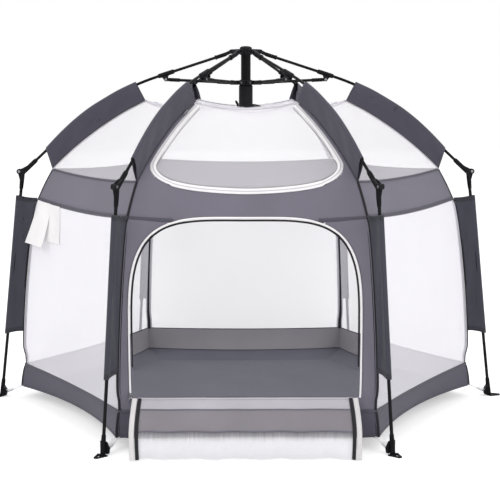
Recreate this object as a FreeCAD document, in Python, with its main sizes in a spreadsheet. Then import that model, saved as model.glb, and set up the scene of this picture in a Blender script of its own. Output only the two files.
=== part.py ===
"""Pop-up travel play yard: six folding poles on a central hub carry a hexagonal fabric tent with a door.

The frame stands on the ground at z = 0, with its axis on +Z and the door facing -Y. Poles are drawn
in the XZ plane, in the place of pole 1, and are then turned about Z to the other places.
"""
import FreeCAD, Part
import math
import os
import Sketcher

SIDES = 6
SIZES = [
    # hub and its tube
    ("tube_radius", 14), ("tube_wall", 1.6), ("tube_end_rise", 5), ("hub_radius", 17.5),
    ("hub_drop", 9), ("hub_rise", 8), ("tube_socket_depth", 9), ("cap_height", 8),
    ("hub_pin_reach", 42), ("hub_pin_height", 1006), ("ear_radius", 6.2), ("ear_wall", 3),
    ("ear_gap", 8.2), ("pin_radius", 2), ("pin_clearance", 0.05), ("head_radius", 3.6), ("head_height", 1.2),
    # runner that slides on the tube
    ("runner_radius", 19.8), ("runner_length", 80), ("runner_top_rise", 8), ("slide_clearance", 0.35),
    ("neck_radius", 18), ("grip_top_drop", 10), ("flute_radius", 1.3), ("flute_count", 20),
    ("runner_pin_reach", 42), ("runner_drop", 88), ("runner_ear_gap", 12),
    ("ear_inner_reach", 21),
    ("lever_pin_reach", 26), ("lever_pin_rise", 7), ("lever_tip_reach", 47), ("lever_width", 6),
    ("lever_ear_radius", 4), ("small_pin_radius", 1.5),
    # poles
    ("rod_radius", 4), ("leg_radius", 4.4), ("socket_radius", 6.5), ("arm_slope", 18), ("rib_lean", 8.742),
    ("bend_share", 0.855), ("rod_start_reach", 64), ("hub_socket_start", 56), ("hub_socket_length", 32),
    ("joint_reach", 228), ("joint_drop", 63), ("sleeve_length", 48), ("strut_pin_along", 6),
    ("strut_pin_drop", 15), ("lug_radius", 5.5), ("tongue_clearance", 0.3), ("strut_end_length", 40),
    ("knee_reach", 645), ("knee_height", 659), ("knee_pin_offset", 10.5), ("knee_ear_radius", 7.4),
    ("knee_clearance", 0.8), ("knee_stop_gap", 0.3), ("rod_setback", 13), ("rib_socket_length", 56),
    ("leg_socket_length", 46), ("leg_socket_end_radius", 5.4),
    # feet
    ("foot_reach", 720), ("foot_radius", 6.8), ("foot_top", 52), ("foot_rod_bottom", 9), ("tab_thickness", 4),
    ("tab_reach", 32), ("tab_half_width", 15), ("tab_wall", 5),
    # fabric shell: how far each corner stands in from the poles, and its height
    ("cloth", 2), ("seam_gap", 0.8), ("roof_hole", 15), ("roof_sag", 4), ("roof_beyond_joint", 60),
    ("roof_below_joint", 77), ("shoulder_inset", 87), ("shoulder_rise", 11), ("wall_inset", 42),
    ("wall_drop", 79), ("base_inset", 71), ("base_height", 99), ("hem_inset", 59), ("hem_height", 32),
    ("skirt_inset", 86), ("skirt_height", 3), ("floor_inset", 92), ("mat_thickness", 7),
    ("door_stile", 36), ("sill_rise", 32), ("door_drop", 16), ("door_corner", 85), ("flap_throw", 111),
    ("flap_thickness", 4), ("flap_clearance", 4), ("flap_side_gap", 4),
    # gussets and straps between the shell and the poles
    ("gusset_cloth", 1.4), ("gusset_clearance", 0.8), ("seam_lift", 3), ("flap_top_turn", 6),
    ("flap_end_back", 98), ("gusset_rise", 12), ("gusset_foot", 93), ("strap_width", 20),
    ("strap_thickness", 1.6), ("strap_end_inset", 17), ("strap_end_height", 24), ("strap_rim", 1),
    # cuts that pass right through a piece, and the thin edges of moulded pieces
    ("through_cut", 60), ("stop_reach", 40), ("hook_height", 22), ("hook_reach", 11),
    ("hook_thickness", 3), ("lever_nose", 3), ("slab_height", 2000),
]

doc = FreeCAD.newDocument("play_yard")
sheet = doc.addObject("Spreadsheet::Sheet", "Sizes")


class Size:
    """A number, with the expression that ties it to the sheet."""

    def __init__(self, value, text):
        self.value = float(value)
        self.text = text

    def join(self, other, symbol, value):
        return Size(value, f"({self.text} {symbol} {size(other).text})")

    def __add__(self, other):
        return self.join(other, "+", self.value + size(other).value)

    def __sub__(self, other):
        return self.join(other, "-", self.value - size(other).value)

    def __mul__(self, other):
        return self.join(other, "*", self.value * size(other).value)

    def __truediv__(self, other):
        return self.join(other, "/", self.value / size(other).value)

    def __neg__(self):
        return Size(-self.value, f"(-{self.text})")

    def __rsub__(self, other):
        return size(other) - self

    __radd__ = __add__
    __rmul__ = __mul__


def size(number):
    return number if isinstance(number, Size) else Size(number, str(number))


def sine(angle):
    return Size(math.sin(math.radians(angle.value)), f"sin({angle.text})")


def cosine(angle):
    return Size(math.cos(math.radians(angle.value)), f"cos({angle.text})")


def tangent(angle):
    return Size(math.tan(math.radians(angle.value)), f"tan({angle.text})")


def slope(rise, run):
    """The angle, in degrees, of a line with this rise and run."""
    return Size(math.degrees(math.atan2(rise.value, run.value)), f"(atan2({rise.text}; {run.text}) / 1 deg)")


def length(rise, run):
    return Size(math.hypot(rise.value, run.value), f"sqrt({rise.text}^2 + {run.text}^2)")


def read_sheet():
    """Writes the driving dimensions into the sheet and returns them by name."""
    named = {}
    for row, (name, value) in enumerate(SIZES, 1):
        sheet.set(f"A{row}", name)
        sheet.set(f"B{row}", str(value))
        sheet.setAlias(f"B{row}", name)
        named[name] = Size(value, f"Sizes.{name}")
    doc.recompute()
    return named


d = read_sheet()
ORIGIN = (size(0), size(0), size(0))
made = {}


# ---------------------------------------------------------------- drawing and solid features

def body(name):
    return doc.addObject("PartDesign::Body", name)


def origin_plane(owner, role):
    return next(f for f in owner.Origin.OriginFeatures if f.Role == role)


def sketch(owner, name, place=ORIGIN, role="XZ_Plane", lift=None):
    """A sketch whose own origin is at place (across, up) and whose x axis is turned by place's angle."""
    drawing = owner.newObject("Sketcher::SketchObject", name)
    drawing.AttachmentSupport = [(origin_plane(owner, role), "")]
    drawing.MapMode = "FlatFace"
    across, up, angle = place
    drawing.setExpression("AttachmentOffset.Base.x", across.text)
    drawing.setExpression("AttachmentOffset.Base.y", up.text)
    drawing.setExpression("AttachmentOffset.Rotation.Angle", angle.text)
    if lift is not None:
        drawing.setExpression("AttachmentOffset.Base.z", size(lift).text)
    return drawing


def tie(drawing, kind, item, number, point=None):
    """Sets one distance or radius of a sketch, bound to its expression."""
    number = size(number)
    if point is None:
        index = drawing.addConstraint(Sketcher.Constraint(kind, item, number.value))
    else:
        index = drawing.addConstraint(Sketcher.Constraint(kind, -1, 1, item, point, number.value))
    drawing.setExpression(f"Constraints[{index}]", number.text)


def outline(drawing, corners):
    """A closed outline of straight lines, with each corner tied to the sheet."""
    first = drawing.GeometryCount
    points = [FreeCAD.Vector(size(x).value, size(y).value, 0) for x, y in corners]
    lines = [Part.LineSegment(a, b) for a, b in zip(points, points[1:] + points[:1])]
    drawing.addGeometry(lines, False)
    count = len(points)
    for i in range(count):
        drawing.addConstraint(Sketcher.Constraint("Coincident", first + i, 2, first + (i + 1) % count, 1))
    for i, (x, y) in enumerate(corners):
        tie(drawing, "DistanceX", first + i, x, 1)
        tie(drawing, "DistanceY", first + i, y, 1)
    return drawing


def disc(drawing, x, y, radius):
    x, y, radius = size(x), size(y), size(radius)
    item = drawing.addGeometry(
        Part.Circle(FreeCAD.Vector(x.value, y.value, 0), FreeCAD.Vector(0, 0, 1), radius.value), False)
    tie(drawing, "DistanceX", item, x, 3)
    tie(drawing, "DistanceY", item, y, 3)
    tie(drawing, "Radius", item, radius)
    return drawing


def pad(drawing, thickness, middle=True):
    """Thickens a sketch, by half each way unless middle is false."""
    feature = drawing.getParentGeoFeatureGroup().newObject("PartDesign::Pad", "Pad")
    feature.Profile = drawing
    feature.Midplane = middle
    feature.setExpression("Length", size(thickness).text)
    return feature


def pocket(drawing, thickness):
    feature = drawing.getParentGeoFeatureGroup().newObject("PartDesign::Pocket", "Pocket")
    feature.Profile = drawing
    feature.Midplane = True
    feature.setExpression("Length", size(thickness).text)
    return feature


def spin(drawing, axis="H_Axis"):
    feature = drawing.getParentGeoFeatureGroup().newObject("PartDesign::Revolution", "Revolution")
    feature.Profile = drawing
    feature.ReferenceAxis = (drawing, [axis])
    feature.Angle = 360
    return feature


def bore(owner, place, start, end, radius):
    """Clears a rod's place, from start to end along the frame's axis."""
    corners = [(start, 0), (end, 0), (end, radius), (start, radius)]
    drawing = outline(sketch(owner, "RodPlace", place), corners)
    feature = drawing.getParentGeoFeatureGroup().newObject("PartDesign::Groove", "RodBore")
    feature.Profile = drawing
    feature.ReferenceAxis = (drawing, ["H_Axis"])
    feature.Angle = 360
    return feature


def repeat_round(owner, features, count):
    """Repeats features evenly about the body's Z axis."""
    pattern = owner.newObject("PartDesign::PolarPattern", "PolarPattern")
    pattern.Originals = features
    pattern.Axis = (origin_plane(owner, "Z_Axis"), [""])
    pattern.Angle = 360
    pattern.setExpression("Occurrences", size(count).text)
    owner.Tip = pattern
    return pattern


def turned(owner, name, place, corners):
    """A turned piece: corners are (along the axis, distance from it)."""
    return spin(outline(sketch(owner, name, place), corners))


def keep(node, shape_object):
    """Names one sub-part: its label is its file's name."""
    shape_object.Label = node
    made[node] = shape_object
    return shape_object


def joined(name, pieces, turn=0):
    """A group of separate solids, turned about Z to its place."""
    group = doc.addObject("Part::Compound", name)
    group.Links = pieces
    group.Placement = FreeCAD.Placement(FreeCAD.Vector(), FreeCAD.Rotation(FreeCAD.Vector(0, 0, 1), turn))
    return group


def all_round(name, pieces):
    """One group with a copy of the pieces at each of the six corners."""
    return joined(name, [joined(f"{name}_at_{k}", pieces, 360 * k / SIDES) for k in range(SIDES)])


def each_round(node, pieces):
    """One node for each of the six corners."""
    for k in range(SIDES):
        keep(f"{node}_{k + 1}", joined(f"{node}_{k + 1}", pieces, 360 * k / SIDES))


# ---------------------------------------------------------------- places that several pieces share

# the hub, the runner and the poles' joints keep their places under the hub's pins
d["hub_bottom"] = d["hub_pin_height"] - d["hub_drop"]
d["hub_top"] = d["hub_pin_height"] + d["hub_rise"]
d["joint_height"] = d["hub_pin_height"] - d["joint_drop"]
d["runner_pin_height"] = d["hub_pin_height"] - d["runner_drop"]
d["runner_top"] = d["runner_pin_height"] + d["runner_top_rise"]
d["runner_bottom"] = d["runner_top"] - d["runner_length"]
d["grip_top"] = d["runner_pin_height"] - d["grip_top_drop"]
d["lever_pin_height"] = d["runner_bottom"] + d["lever_pin_rise"]
d["tube_bottom"] = d["runner_bottom"] + d["tube_end_rise"]

rib_run = d["knee_reach"] - d["joint_reach"]
rib_drop = d["joint_height"] - d["knee_height"]
d["rib_slope"] = slope(rib_drop, rib_run) + d["rib_lean"]
rib_turn = d["rib_slope"] - d["arm_slope"]
arm_run = (rib_run * sine(d["rib_slope"]) - rib_drop * cosine(d["rib_slope"])) / sine(rib_turn)
bend_tangent = d["bend_share"] * arm_run
d["bend_radius"] = bend_tangent / tangent(rib_turn / 2)
bend_corner = (d["joint_reach"] + arm_run * cosine(d["arm_slope"]),
               d["joint_height"] - arm_run * sine(d["arm_slope"]))
arm_along, arm_down = cosine(d["arm_slope"]), sine(d["arm_slope"])
bend_middle = (bend_corner[0] - bend_tangent * arm_along - d["bend_radius"] * arm_down,
               bend_corner[1] + bend_tangent * arm_down - d["bend_radius"] * arm_along)

# the shell's corners keep their distances from the poles
d["roof_reach"] = d["joint_reach"] + d["roof_beyond_joint"]
d["roof_height"] = d["joint_height"] - d["roof_below_joint"]
d["roof_low"] = d["runner_bottom"] - d["roof_sag"]
d["shoulder_reach"] = d["knee_reach"] - d["shoulder_inset"]
d["shoulder_height"] = d["knee_height"] + d["shoulder_rise"]
d["wall_reach"] = d["knee_reach"] - d["wall_inset"]
d["wall_height"] = d["knee_height"] - d["wall_drop"]
d["base_reach"] = d["foot_reach"] - d["base_inset"]
d["hem_reach"] = d["foot_reach"] - d["hem_inset"]
d["skirt_reach"] = d["foot_reach"] - d["skirt_inset"]
d["floor_reach"] = d["foot_reach"] - d["floor_inset"]
d["door_width"] = d["base_reach"] - 2 * d["door_stile"]
d["door_top"] = d["wall_height"] - d["door_drop"]
d["sill_height"] = d["base_height"] + d["sill_rise"]
d["gusset_top"] = d["wall_height"] + d["gusset_rise"]
d["gusset_bottom"] = d["base_height"] + d["gusset_foot"]
d["strap_end_reach"] = d["foot_reach"] - d["strap_end_inset"]

clevis_span = d["ear_gap"] + 2 * d["ear_wall"]
tongue = d["ear_gap"] - 2 * d["tongue_clearance"]
runner_span = d["runner_ear_gap"] + 2 * d["ear_wall"]
runner_tongue = d["runner_ear_gap"] - 2 * d["tongue_clearance"]
pin_bore = d["pin_radius"] + d["pin_clearance"]
rod_bore = d["rod_radius"] + d["pin_clearance"]
leg_bore = d["leg_radius"] + d["pin_clearance"]

arm_frame = (d["joint_reach"], d["joint_height"], -d["arm_slope"])
rib_frame = (d["knee_reach"], d["knee_height"], -d["rib_slope"])
leg_fall = slope(-d["knee_height"], d["foot_reach"] - d["knee_reach"])
leg_frame = (d["knee_reach"], d["knee_height"], leg_fall)
leg_length = length(d["knee_height"], d["foot_reach"] - d["knee_reach"])
foot_frame = (d["foot_reach"], size(0), leg_fall)

# half of the angle between the rib and the leg, and the knee pin in each one's own frame
half_knee = (180 - (-leg_fall - d["rib_slope"])) / 2
knee_pin_height = d["knee_pin_offset"] * sine(half_knee)
knee_pin_along = d["knee_pin_offset"] * cosine(half_knee)

strut_pin_reach = (d["joint_reach"] + d["strut_pin_along"] * cosine(d["arm_slope"])
                   - d["strut_pin_drop"] * sine(d["arm_slope"]))
strut_pin_up = (d["joint_height"] - d["strut_pin_along"] * sine(d["arm_slope"])
                - d["strut_pin_drop"] * cosine(d["arm_slope"]))
strut_run = strut_pin_reach - d["runner_pin_reach"]
strut_rise = strut_pin_up - d["runner_pin_height"]
strut_length = length(strut_rise, strut_run)
strut_frame = (d["runner_pin_reach"], d["runner_pin_height"], slope(strut_rise, strut_run))


def rod_height(reach):
    """Height of the straight inner part of a pole above a point at this reach."""
    return d["joint_height"] + (d["joint_reach"] - reach) * tangent(d["arm_slope"])


def leg_reach(height):
    return d["knee_reach"] + (d["knee_height"] - height) * (
        (d["foot_reach"] - d["knee_reach"]) / d["knee_height"])


def wall_corner(height):
    return d["wall_reach"] + (d["wall_height"] - height) * (
        (d["base_reach"] - d["wall_reach"]) / (d["wall_height"] - d["base_height"]))


def clevis(owner, frame, plate, x, y, radius, span, gap, slot, bore):
    """Two ears on a plate outline, with a slot between them and a pin hole at (x, y)."""
    features = [pad(outline(sketch(owner, "EarPlate", frame), plate), span),
                pad(disc(sketch(owner, "EarEnd", frame), x, y, radius), span),
                pocket(outline(sketch(owner, "Slot", frame), slot), gap),
                pocket(disc(sketch(owner, "PinHole", frame), x, y, bore), span + 2)]
    return features


def pin(name, frame, x, y, span):
    """A rivet through a clevis, with a flat head on each side."""
    owner = body(name)
    pad(disc(sketch(owner, "Shank", frame), x, y, d["pin_radius"]), span)
    for lift in (span / 2, -(span / 2) - d["head_height"]):
        pad(disc(sketch(owner, "Head", frame, lift=lift), x, y, d["head_radius"]), d["head_height"], False)
    return owner


# ---------------------------------------------------------------- hub, cap and tube

def hub():
    owner = body("HubBody")
    ear_low = d["hub_pin_height"] - d["ear_radius"]
    ear_high = d["hub_pin_height"] + d["ear_radius"]
    socket = d["hub_bottom"] + d["tube_socket_depth"]
    bore = d["tube_radius"] + d["pin_clearance"]
    profile = [(0, socket), (bore, socket), (bore, d["hub_bottom"]), (d["hub_radius"], d["hub_bottom"]),
               (d["hub_radius"], d["hub_top"]), (0, d["hub_top"])]
    spin(outline(sketch(owner, "Boss"), profile), "V_Axis")
    reach = d["hub_pin_reach"]
    inside = (bore + d["hub_radius"]) / 2
    plate = [(inside, ear_low - 1), (reach, ear_low), (reach, ear_high), (inside, d["hub_top"] - 0.5)]
    far = reach + d["ear_radius"] + 1
    slot = [(d["ear_inner_reach"], d["hub_bottom"] - 9), (far, d["hub_bottom"] - 9),
            (far, d["hub_top"] + 9), (d["ear_inner_reach"], d["hub_top"] + 9)]
    ears = clevis(owner, ORIGIN, plate, reach, d["hub_pin_height"], d["ear_radius"], clevis_span,
                  d["ear_gap"], slot, pin_bore)
    repeat_round(owner, ears, SIDES)
    return owner


def cap():
    owner = body("CapBody")
    low, high = d["hub_top"], d["hub_top"] + d["cap_height"]
    rim, rise = d["hub_radius"], d["cap_height"]
    profile = [(0, low), (rim, low), (rim, low + rise * 0.25), (rim * 0.93, low + rise * 0.55),
               (rim * 0.72, low + rise * 0.8), (rim * 0.4, low + rise * 0.95), (0, high)]
    spin(outline(sketch(owner, "Dome"), profile), "V_Axis")
    return owner


def tube():
    owner = body("TubeBody")
    top = d["hub_bottom"] + d["tube_socket_depth"]
    spin(outline(sketch(owner, "Wall"), [
        (d["tube_radius"] - d["tube_wall"], d["tube_bottom"]), (d["tube_radius"], d["tube_bottom"]),
        (d["tube_radius"], top), (d["tube_radius"] - d["tube_wall"], top)]), "V_Axis")
    return owner


# ---------------------------------------------------------------- runner, its rivets, lever and hook

def runner():
    owner = body("RunnerBody")
    bore = d["tube_radius"] + d["slide_clearance"]
    low, high = d["runner_bottom"], d["runner_top"]
    profile = [(bore, low), (d["runner_radius"] - 1, low), (d["runner_radius"], low + 1.5),
               (d["runner_radius"], d["grip_top"]), (d["neck_radius"], d["grip_top"] + 3),
               (d["neck_radius"], high), (bore, high)]
    spin(outline(sketch(owner, "Sleeve"), profile), "V_Axis")
    reach, height = d["runner_pin_reach"], d["runner_pin_height"]
    inside = (bore + d["neck_radius"]) / 2
    plate = [(inside, height - d["ear_radius"]), (reach, height - d["ear_radius"]),
             (reach, height + d["ear_radius"]), (inside, height + d["ear_radius"])]
    far = reach + d["ear_radius"] + 1
    slot = [(d["ear_inner_reach"], height - 20), (far, height - 20), (far, height + 20),
            (d["ear_inner_reach"], height + 20)]
    ears = clevis(owner, ORIGIN, plate, reach, height, d["ear_radius"], runner_span, d["runner_ear_gap"],
                  slot, pin_bore)
    repeat_round(owner, ears, SIDES)
    flute = sketch(owner, "Flute", role="XY_Plane", lift=low + 8)
    cut = owner.newObject("PartDesign::Pocket", "FluteCut")
    cut.Profile = disc(flute, d["runner_radius"] + 0.5, 0, d["flute_radius"])
    cut.Reversed = True
    cut.setExpression("Length", (d["grip_top"] - low - 12).text)
    repeat_round(owner, [cut], d["flute_count"])
    reach, height = d["lever_pin_reach"], d["lever_pin_height"]
    inside = (bore + d["runner_radius"]) / 2
    radius = d["lever_ear_radius"]
    plate = [(inside, height - radius), (reach, height - radius), (reach, height + radius),
             (inside, height + radius)]
    gap = d["lever_width"] + 2 * d["tongue_clearance"]
    edge = d["runner_radius"] + 0.6
    slot = [(edge, height - 9), (reach + 9, height - 9), (reach + 9, height + 9), (edge, height + 9)]
    clevis(owner, ORIGIN, plate, reach, height, radius, gap + 2 * d["ear_wall"], gap, slot,
           d["small_pin_radius"] + d["pin_clearance"])
    return owner


def ear_rivets():
    """Short rivets in the runner's ears, which leave the slot between the ears free."""
    pieces = []
    for name, side in (("Near", 1), ("Far", -1)):
        owner = body(f"{name}Rivet")
        x, y = d["runner_pin_reach"], d["runner_pin_height"]
        inner = d["runner_ear_gap"] / 2 + d["tongue_clearance"]
        outer = runner_span / 2
        shank = inner if side > 0 else -outer
        head = outer if side > 0 else -outer - d["head_height"]
        pad(disc(sketch(owner, "Shank", lift=shank), x, y, d["pin_radius"]), outer - inner, False)
        pad(disc(sketch(owner, "Head", lift=head), x, y, d["head_radius"]), d["head_height"], False)
        pieces.append(owner)
    return pieces


def lever_pin():
    owner = body("LeverPin")
    span = d["lever_width"] + 2 * (d["tongue_clearance"] + d["ear_wall"])
    shank = disc(sketch(owner, "Shank"), d["lever_pin_reach"], d["lever_pin_height"], d["small_pin_radius"])
    pad(shank, span)
    return owner


def release_lever():
    owner = body("LeverBody")
    reach, height = d["lever_pin_reach"], d["lever_pin_height"]
    radius = d["lever_ear_radius"] - 0.4
    pad(disc(sketch(owner, "Eye"), reach, height, radius), d["lever_width"])
    nose, tip = d["lever_nose"], d["lever_tip_reach"]
    tail = [(reach, height - radius), (reach + radius * 2, height - nose), (tip, height - nose * 1.5),
            (tip, height - nose * 0.9), (reach + radius * 2, height + nose * 0.8), (reach, height + radius)]
    pad(outline(sketch(owner, "Tail"), tail), d["lever_width"])
    pocket(disc(sketch(owner, "PinHole"), reach, height, d["small_pin_radius"] + d["pin_clearance"]),
           d["through_cut"])
    return owner


def roof_hook():
    """A flat hook on the runner's lower end, which takes the elastic loop of the roof's middle."""
    owner = body("HookBody")
    edge, low = d["runner_radius"] + d["slide_clearance"], d["runner_bottom"]
    out, rise = d["hook_reach"], d["hook_height"]
    shape = [(-edge, low + rise * 0.05), (-edge, low + rise * 0.55), (-edge - out * 0.45, low + rise * 0.9),
             (-edge - out * 0.8, low + rise), (-edge - out, low + rise * 0.8),
             (-edge - out * 0.55, low + rise * 0.35), (-edge - out * 0.35, low + rise * 0.05)]
    pad(outline(sketch(owner, "Hook"), shape), d["hook_thickness"])
    return owner


# ---------------------------------------------------------------- one pole: rod, fittings, pins

def arm_frame_direction(fall):
    """Unit vector that points outwards and down by this angle."""
    angle = math.radians(fall.value)
    return FreeCAD.Vector(math.cos(angle), -math.sin(angle), 0)


def arm_rod():
    """One steel rod from the hub to the knee: straight, one long bend, straight."""
    owner = body("RodBody")
    path = sketch(owner, "Path")
    knee_x, knee_y = d["knee_reach"], d["knee_height"]
    start = d["rod_start_reach"]
    end_x = knee_x - d["rod_setback"] * cosine(d["rib_slope"])
    end_y = knee_y + d["rod_setback"] * sine(d["rib_slope"])
    corner, middle = (FreeCAD.Vector(x.value, y.value, 0) for x, y in (bend_corner, bend_middle))
    before = arm_frame_direction(d["arm_slope"]) * bend_tangent.value
    after = arm_frame_direction(d["rib_slope"]) * bend_tangent.value
    path.addGeometry([
        Part.LineSegment(FreeCAD.Vector(start.value, rod_height(start).value, 0), corner - before),
        Part.LineSegment(corner + after, FreeCAD.Vector(end_x.value, end_y.value, 0)),
        Part.ArcOfCircle(Part.Circle(middle, FreeCAD.Vector(0, 0, 1), d["bend_radius"].value),
                         math.radians(90 - d["rib_slope"].value), math.radians(90 - d["arm_slope"].value)),
    ], False)
    path.addConstraint([Sketcher.Constraint("Tangent", 0, 2, 2, 2),
                        Sketcher.Constraint("Tangent", 1, 1, 2, 1)])
    tie(path, "Radius", 2, d["bend_radius"])
    for item, angle in ((0, d["arm_slope"]), (1, d["rib_slope"])):
        index = path.addConstraint(Sketcher.Constraint("Angle", item, -math.radians(angle.value)))
        path.setExpression(f"Constraints[{index}]", (-angle).text)
    tie(path, "DistanceX", 0, start, 1)
    tie(path, "DistanceY", 0, rod_height(start), 1)
    tie(path, "DistanceX", 1, end_x, 2)
    tie(path, "DistanceY", 1, end_y, 2)
    section = owner.newObject("Sketcher::SketchObject", "Section")
    section.AttachmentSupport = [(path, "Edge1")]
    section.MapMode = "NormalToEdge"
    pipe = owner.newObject("PartDesign::AdditivePipe", "Rod")
    pipe.Profile = disc(section, 0, 0, d["rod_radius"])
    pipe.Spine = (path, ["Edge1", "Edge2", "Edge3"])
    return owner


def hub_fitting():
    """Moulded end of the pole: a tongue on the hub pin and a socket for the rod."""
    owner = body("HubFitting")
    x, y = d["hub_pin_reach"], d["hub_pin_height"]
    start = d["hub_socket_start"]
    end = start + d["hub_socket_length"]
    grip = d["socket_radius"]
    turn = cosine(d["arm_slope"])
    first, seat, last = [(reach - d["joint_reach"]) / turn for reach in (start, d["rod_start_reach"], end)]
    turned(owner, "Socket", arm_frame, [
        (first, 0), (first, grip - 0.7), (last - 4, grip - 1), (last - 4, grip), (last, grip),
        (last, rod_bore), (seat, rod_bore), (seat, 0)])
    blade = [(x, y - d["ear_radius"] + 0.4), (start + 5, rod_height(start + 5) - grip + 1.5),
             (start + 5, rod_height(start + 5) + grip - 1.5), (x, y + d["ear_radius"] - 0.4)]
    pad(outline(sketch(owner, "Tongue"), blade), tongue)
    pad(disc(sketch(owner, "TongueEnd"), x, y, d["ear_radius"] - 0.2), tongue)
    pocket(disc(sketch(owner, "PinHole"), x, y, pin_bore), d["through_cut"])
    return owner


def joint_sleeve():
    """Moulded sleeve on the rod with two ears below it for the strut."""
    owner = body("JointSleeve")
    half, grip = d["sleeve_length"] / 2, d["socket_radius"]
    turned(owner, "Sleeve", arm_frame, [
        (-half, rod_bore), (-half, grip - 1), (4 - half, grip), (half - 4, grip), (half, grip - 1),
        (half, rod_bore)])
    x, y = d["strut_pin_along"], -d["strut_pin_drop"]
    top = -(rod_bore + grip) / 2
    plate = [(x - 12, top), (x - d["lug_radius"] + 0.3, y), (x + d["lug_radius"] - 0.3, y), (x + 9, top)]
    deep = y - d["lug_radius"] - 1
    slot = [(x - 20, -grip), (x - 20, deep), (x + 20, deep), (x + 20, -grip)]
    clevis(owner, arm_frame, plate, x, y, d["lug_radius"], clevis_span, d["ear_gap"], slot, pin_bore)
    return owner


def knee_upper():
    """Moulded socket on the rod's lower end, with ears on its outer side for the knee pin."""
    owner = body("KneeUpper")
    grip, back, seat = d["socket_radius"], d["rib_socket_length"], d["rod_setback"]
    reach = d["knee_ear_radius"] + 8
    turned(owner, "Socket", rib_frame, [
        (-back, rod_bore), (-back, grip - 0.8), (6 - back, grip), (reach, grip), (reach, 0), (-seat, 0),
        (-seat, rod_bore)])
    along, up = cosine(half_knee), sine(half_knee)
    gap = d["knee_stop_gap"]
    far = d["stop_reach"]
    facing = [(far * along - gap, far * up), (far * along + far, far * up), (far - far * along, -far * up),
              (-far * along - gap, -far * up)]
    pocket(outline(sketch(owner, "StopFace", rib_frame), facing), d["through_cut"])
    x, y = knee_pin_along, knee_pin_height
    ear = d["knee_ear_radius"]
    plate = [(-back / 2, grip - 1.5), (x - ear * up, y + ear * along), (x, y), (size(-1), size(0.5))]
    relief = ear + d["knee_clearance"]
    gap = d["ear_gap"]
    pad(outline(sketch(owner, "EarPlate", rib_frame), plate), clevis_span)
    pad(disc(sketch(owner, "EarEnd", rib_frame), x, y, ear), clevis_span)
    pocket(disc(sketch(owner, "Slot", rib_frame), x, y, relief), gap)
    over = y + ear + d["knee_clearance"]
    fold_slot = [(-back, grip), (x, grip), (x, over), (-back, over)]
    pocket(outline(sketch(owner, "FoldSlot", rib_frame), fold_slot), gap)
    bore(owner, rib_frame, -back, -seat, rod_bore)
    pocket(disc(sketch(owner, "PinHole", rib_frame), x, y, pin_bore), d["through_cut"])
    return owner


def knee_socket():
    """Moulded socket on top of the leg, with a tongue between the ears of the knee."""
    owner = body("KneeSocket")
    grip, seat, end = d["socket_radius"], d["rod_setback"], d["leg_socket_length"]
    x, y = -knee_pin_along, knee_pin_height
    back = d["knee_ear_radius"] + 8
    turned(owner, "Socket", leg_frame, [
        (-back, 0), (-back, grip), (end / 2, grip), (end, d["leg_socket_end_radius"]), (end, leg_bore),
        (seat, leg_bore), (seat, 0)])
    along, up = cosine(half_knee), sine(half_knee)
    gap = d["knee_stop_gap"]
    far = d["stop_reach"]
    facing = [(gap - far * along, far * up), (-far * along - far, far * up), (far * along - far, -far * up),
              (far * along + gap, -far * up)]
    pocket(outline(sketch(owner, "StopFace", leg_frame), facing), d["through_cut"])
    pocket(disc(sketch(owner, "EarRelief", leg_frame), x, y, d["knee_ear_radius"] + d["knee_clearance"]),
           d["through_cut"])
    ear = d["knee_ear_radius"]
    blade = [(x, y), (x + ear * up, y + ear * along), (end / 2, grip - 1.5), (end / 3, -grip / 2),
             (gap + 1, 0)]
    pad(outline(sketch(owner, "Blade", leg_frame), blade), tongue)
    pad(disc(sketch(owner, "TongueEnd", leg_frame), x, y, ear), tongue)
    bore(owner, leg_frame, seat, end, leg_bore)
    pocket(disc(sketch(owner, "PinHole", leg_frame), x, y, pin_bore), d["through_cut"])
    return owner


def leg_rod():
    owner = body("LegBody")
    end = leg_length - d["foot_rod_bottom"]
    turned(owner, "Leg", leg_frame, [(d["rod_setback"], 0), (d["rod_setback"], d["leg_radius"]),
                                     (end, d["leg_radius"]), (end, 0)])
    return owner


def strut():
    """A short rod with a moulded tongue at each end."""
    ends = []
    for name, centre, inward, blade_width in (("StrutInner", size(0), 1, runner_tongue),
                                              ("StrutOuter", strut_length, -1, tongue)):
        owner = body(name)
        root, tip = d["lug_radius"] + 3, d["strut_end_length"]
        grip = d["socket_radius"] - 1.2
        wide = d["lug_radius"] - 0.6
        turned(owner, "Socket", strut_frame, [
            (centre + inward * root, 0), (centre + inward * root, grip - 0.6),
            (centre + inward * (root + 3), grip),
            (centre + inward * tip, grip), (centre + inward * tip, rod_bore),
            (centre + inward * (root + 5), rod_bore), (centre + inward * (root + 5), 0)])
        blade = [(centre, -wide), (centre, wide), (centre + inward * (root + 4), grip - 0.6),
                 (centre + inward * (root + 4), 0.6 - grip)]
        pad(outline(sketch(owner, "Tongue", strut_frame), blade), blade_width)
        pad(disc(sketch(owner, "TongueEnd", strut_frame), centre, 0, wide), blade_width)
        if inward < 0:
            pocket(disc(sketch(owner, "PinHole", strut_frame), centre, 0, pin_bore), d["through_cut"])
        ends.append(owner)
    rod = body("StrutRod")
    start = d["lug_radius"] + 8
    turned(rod, "Rod", strut_frame, [(start, 0), (start, d["rod_radius"]),
                                     (strut_length - start, d["rod_radius"]), (strut_length - start, 0)])
    return ends + [rod]


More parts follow.
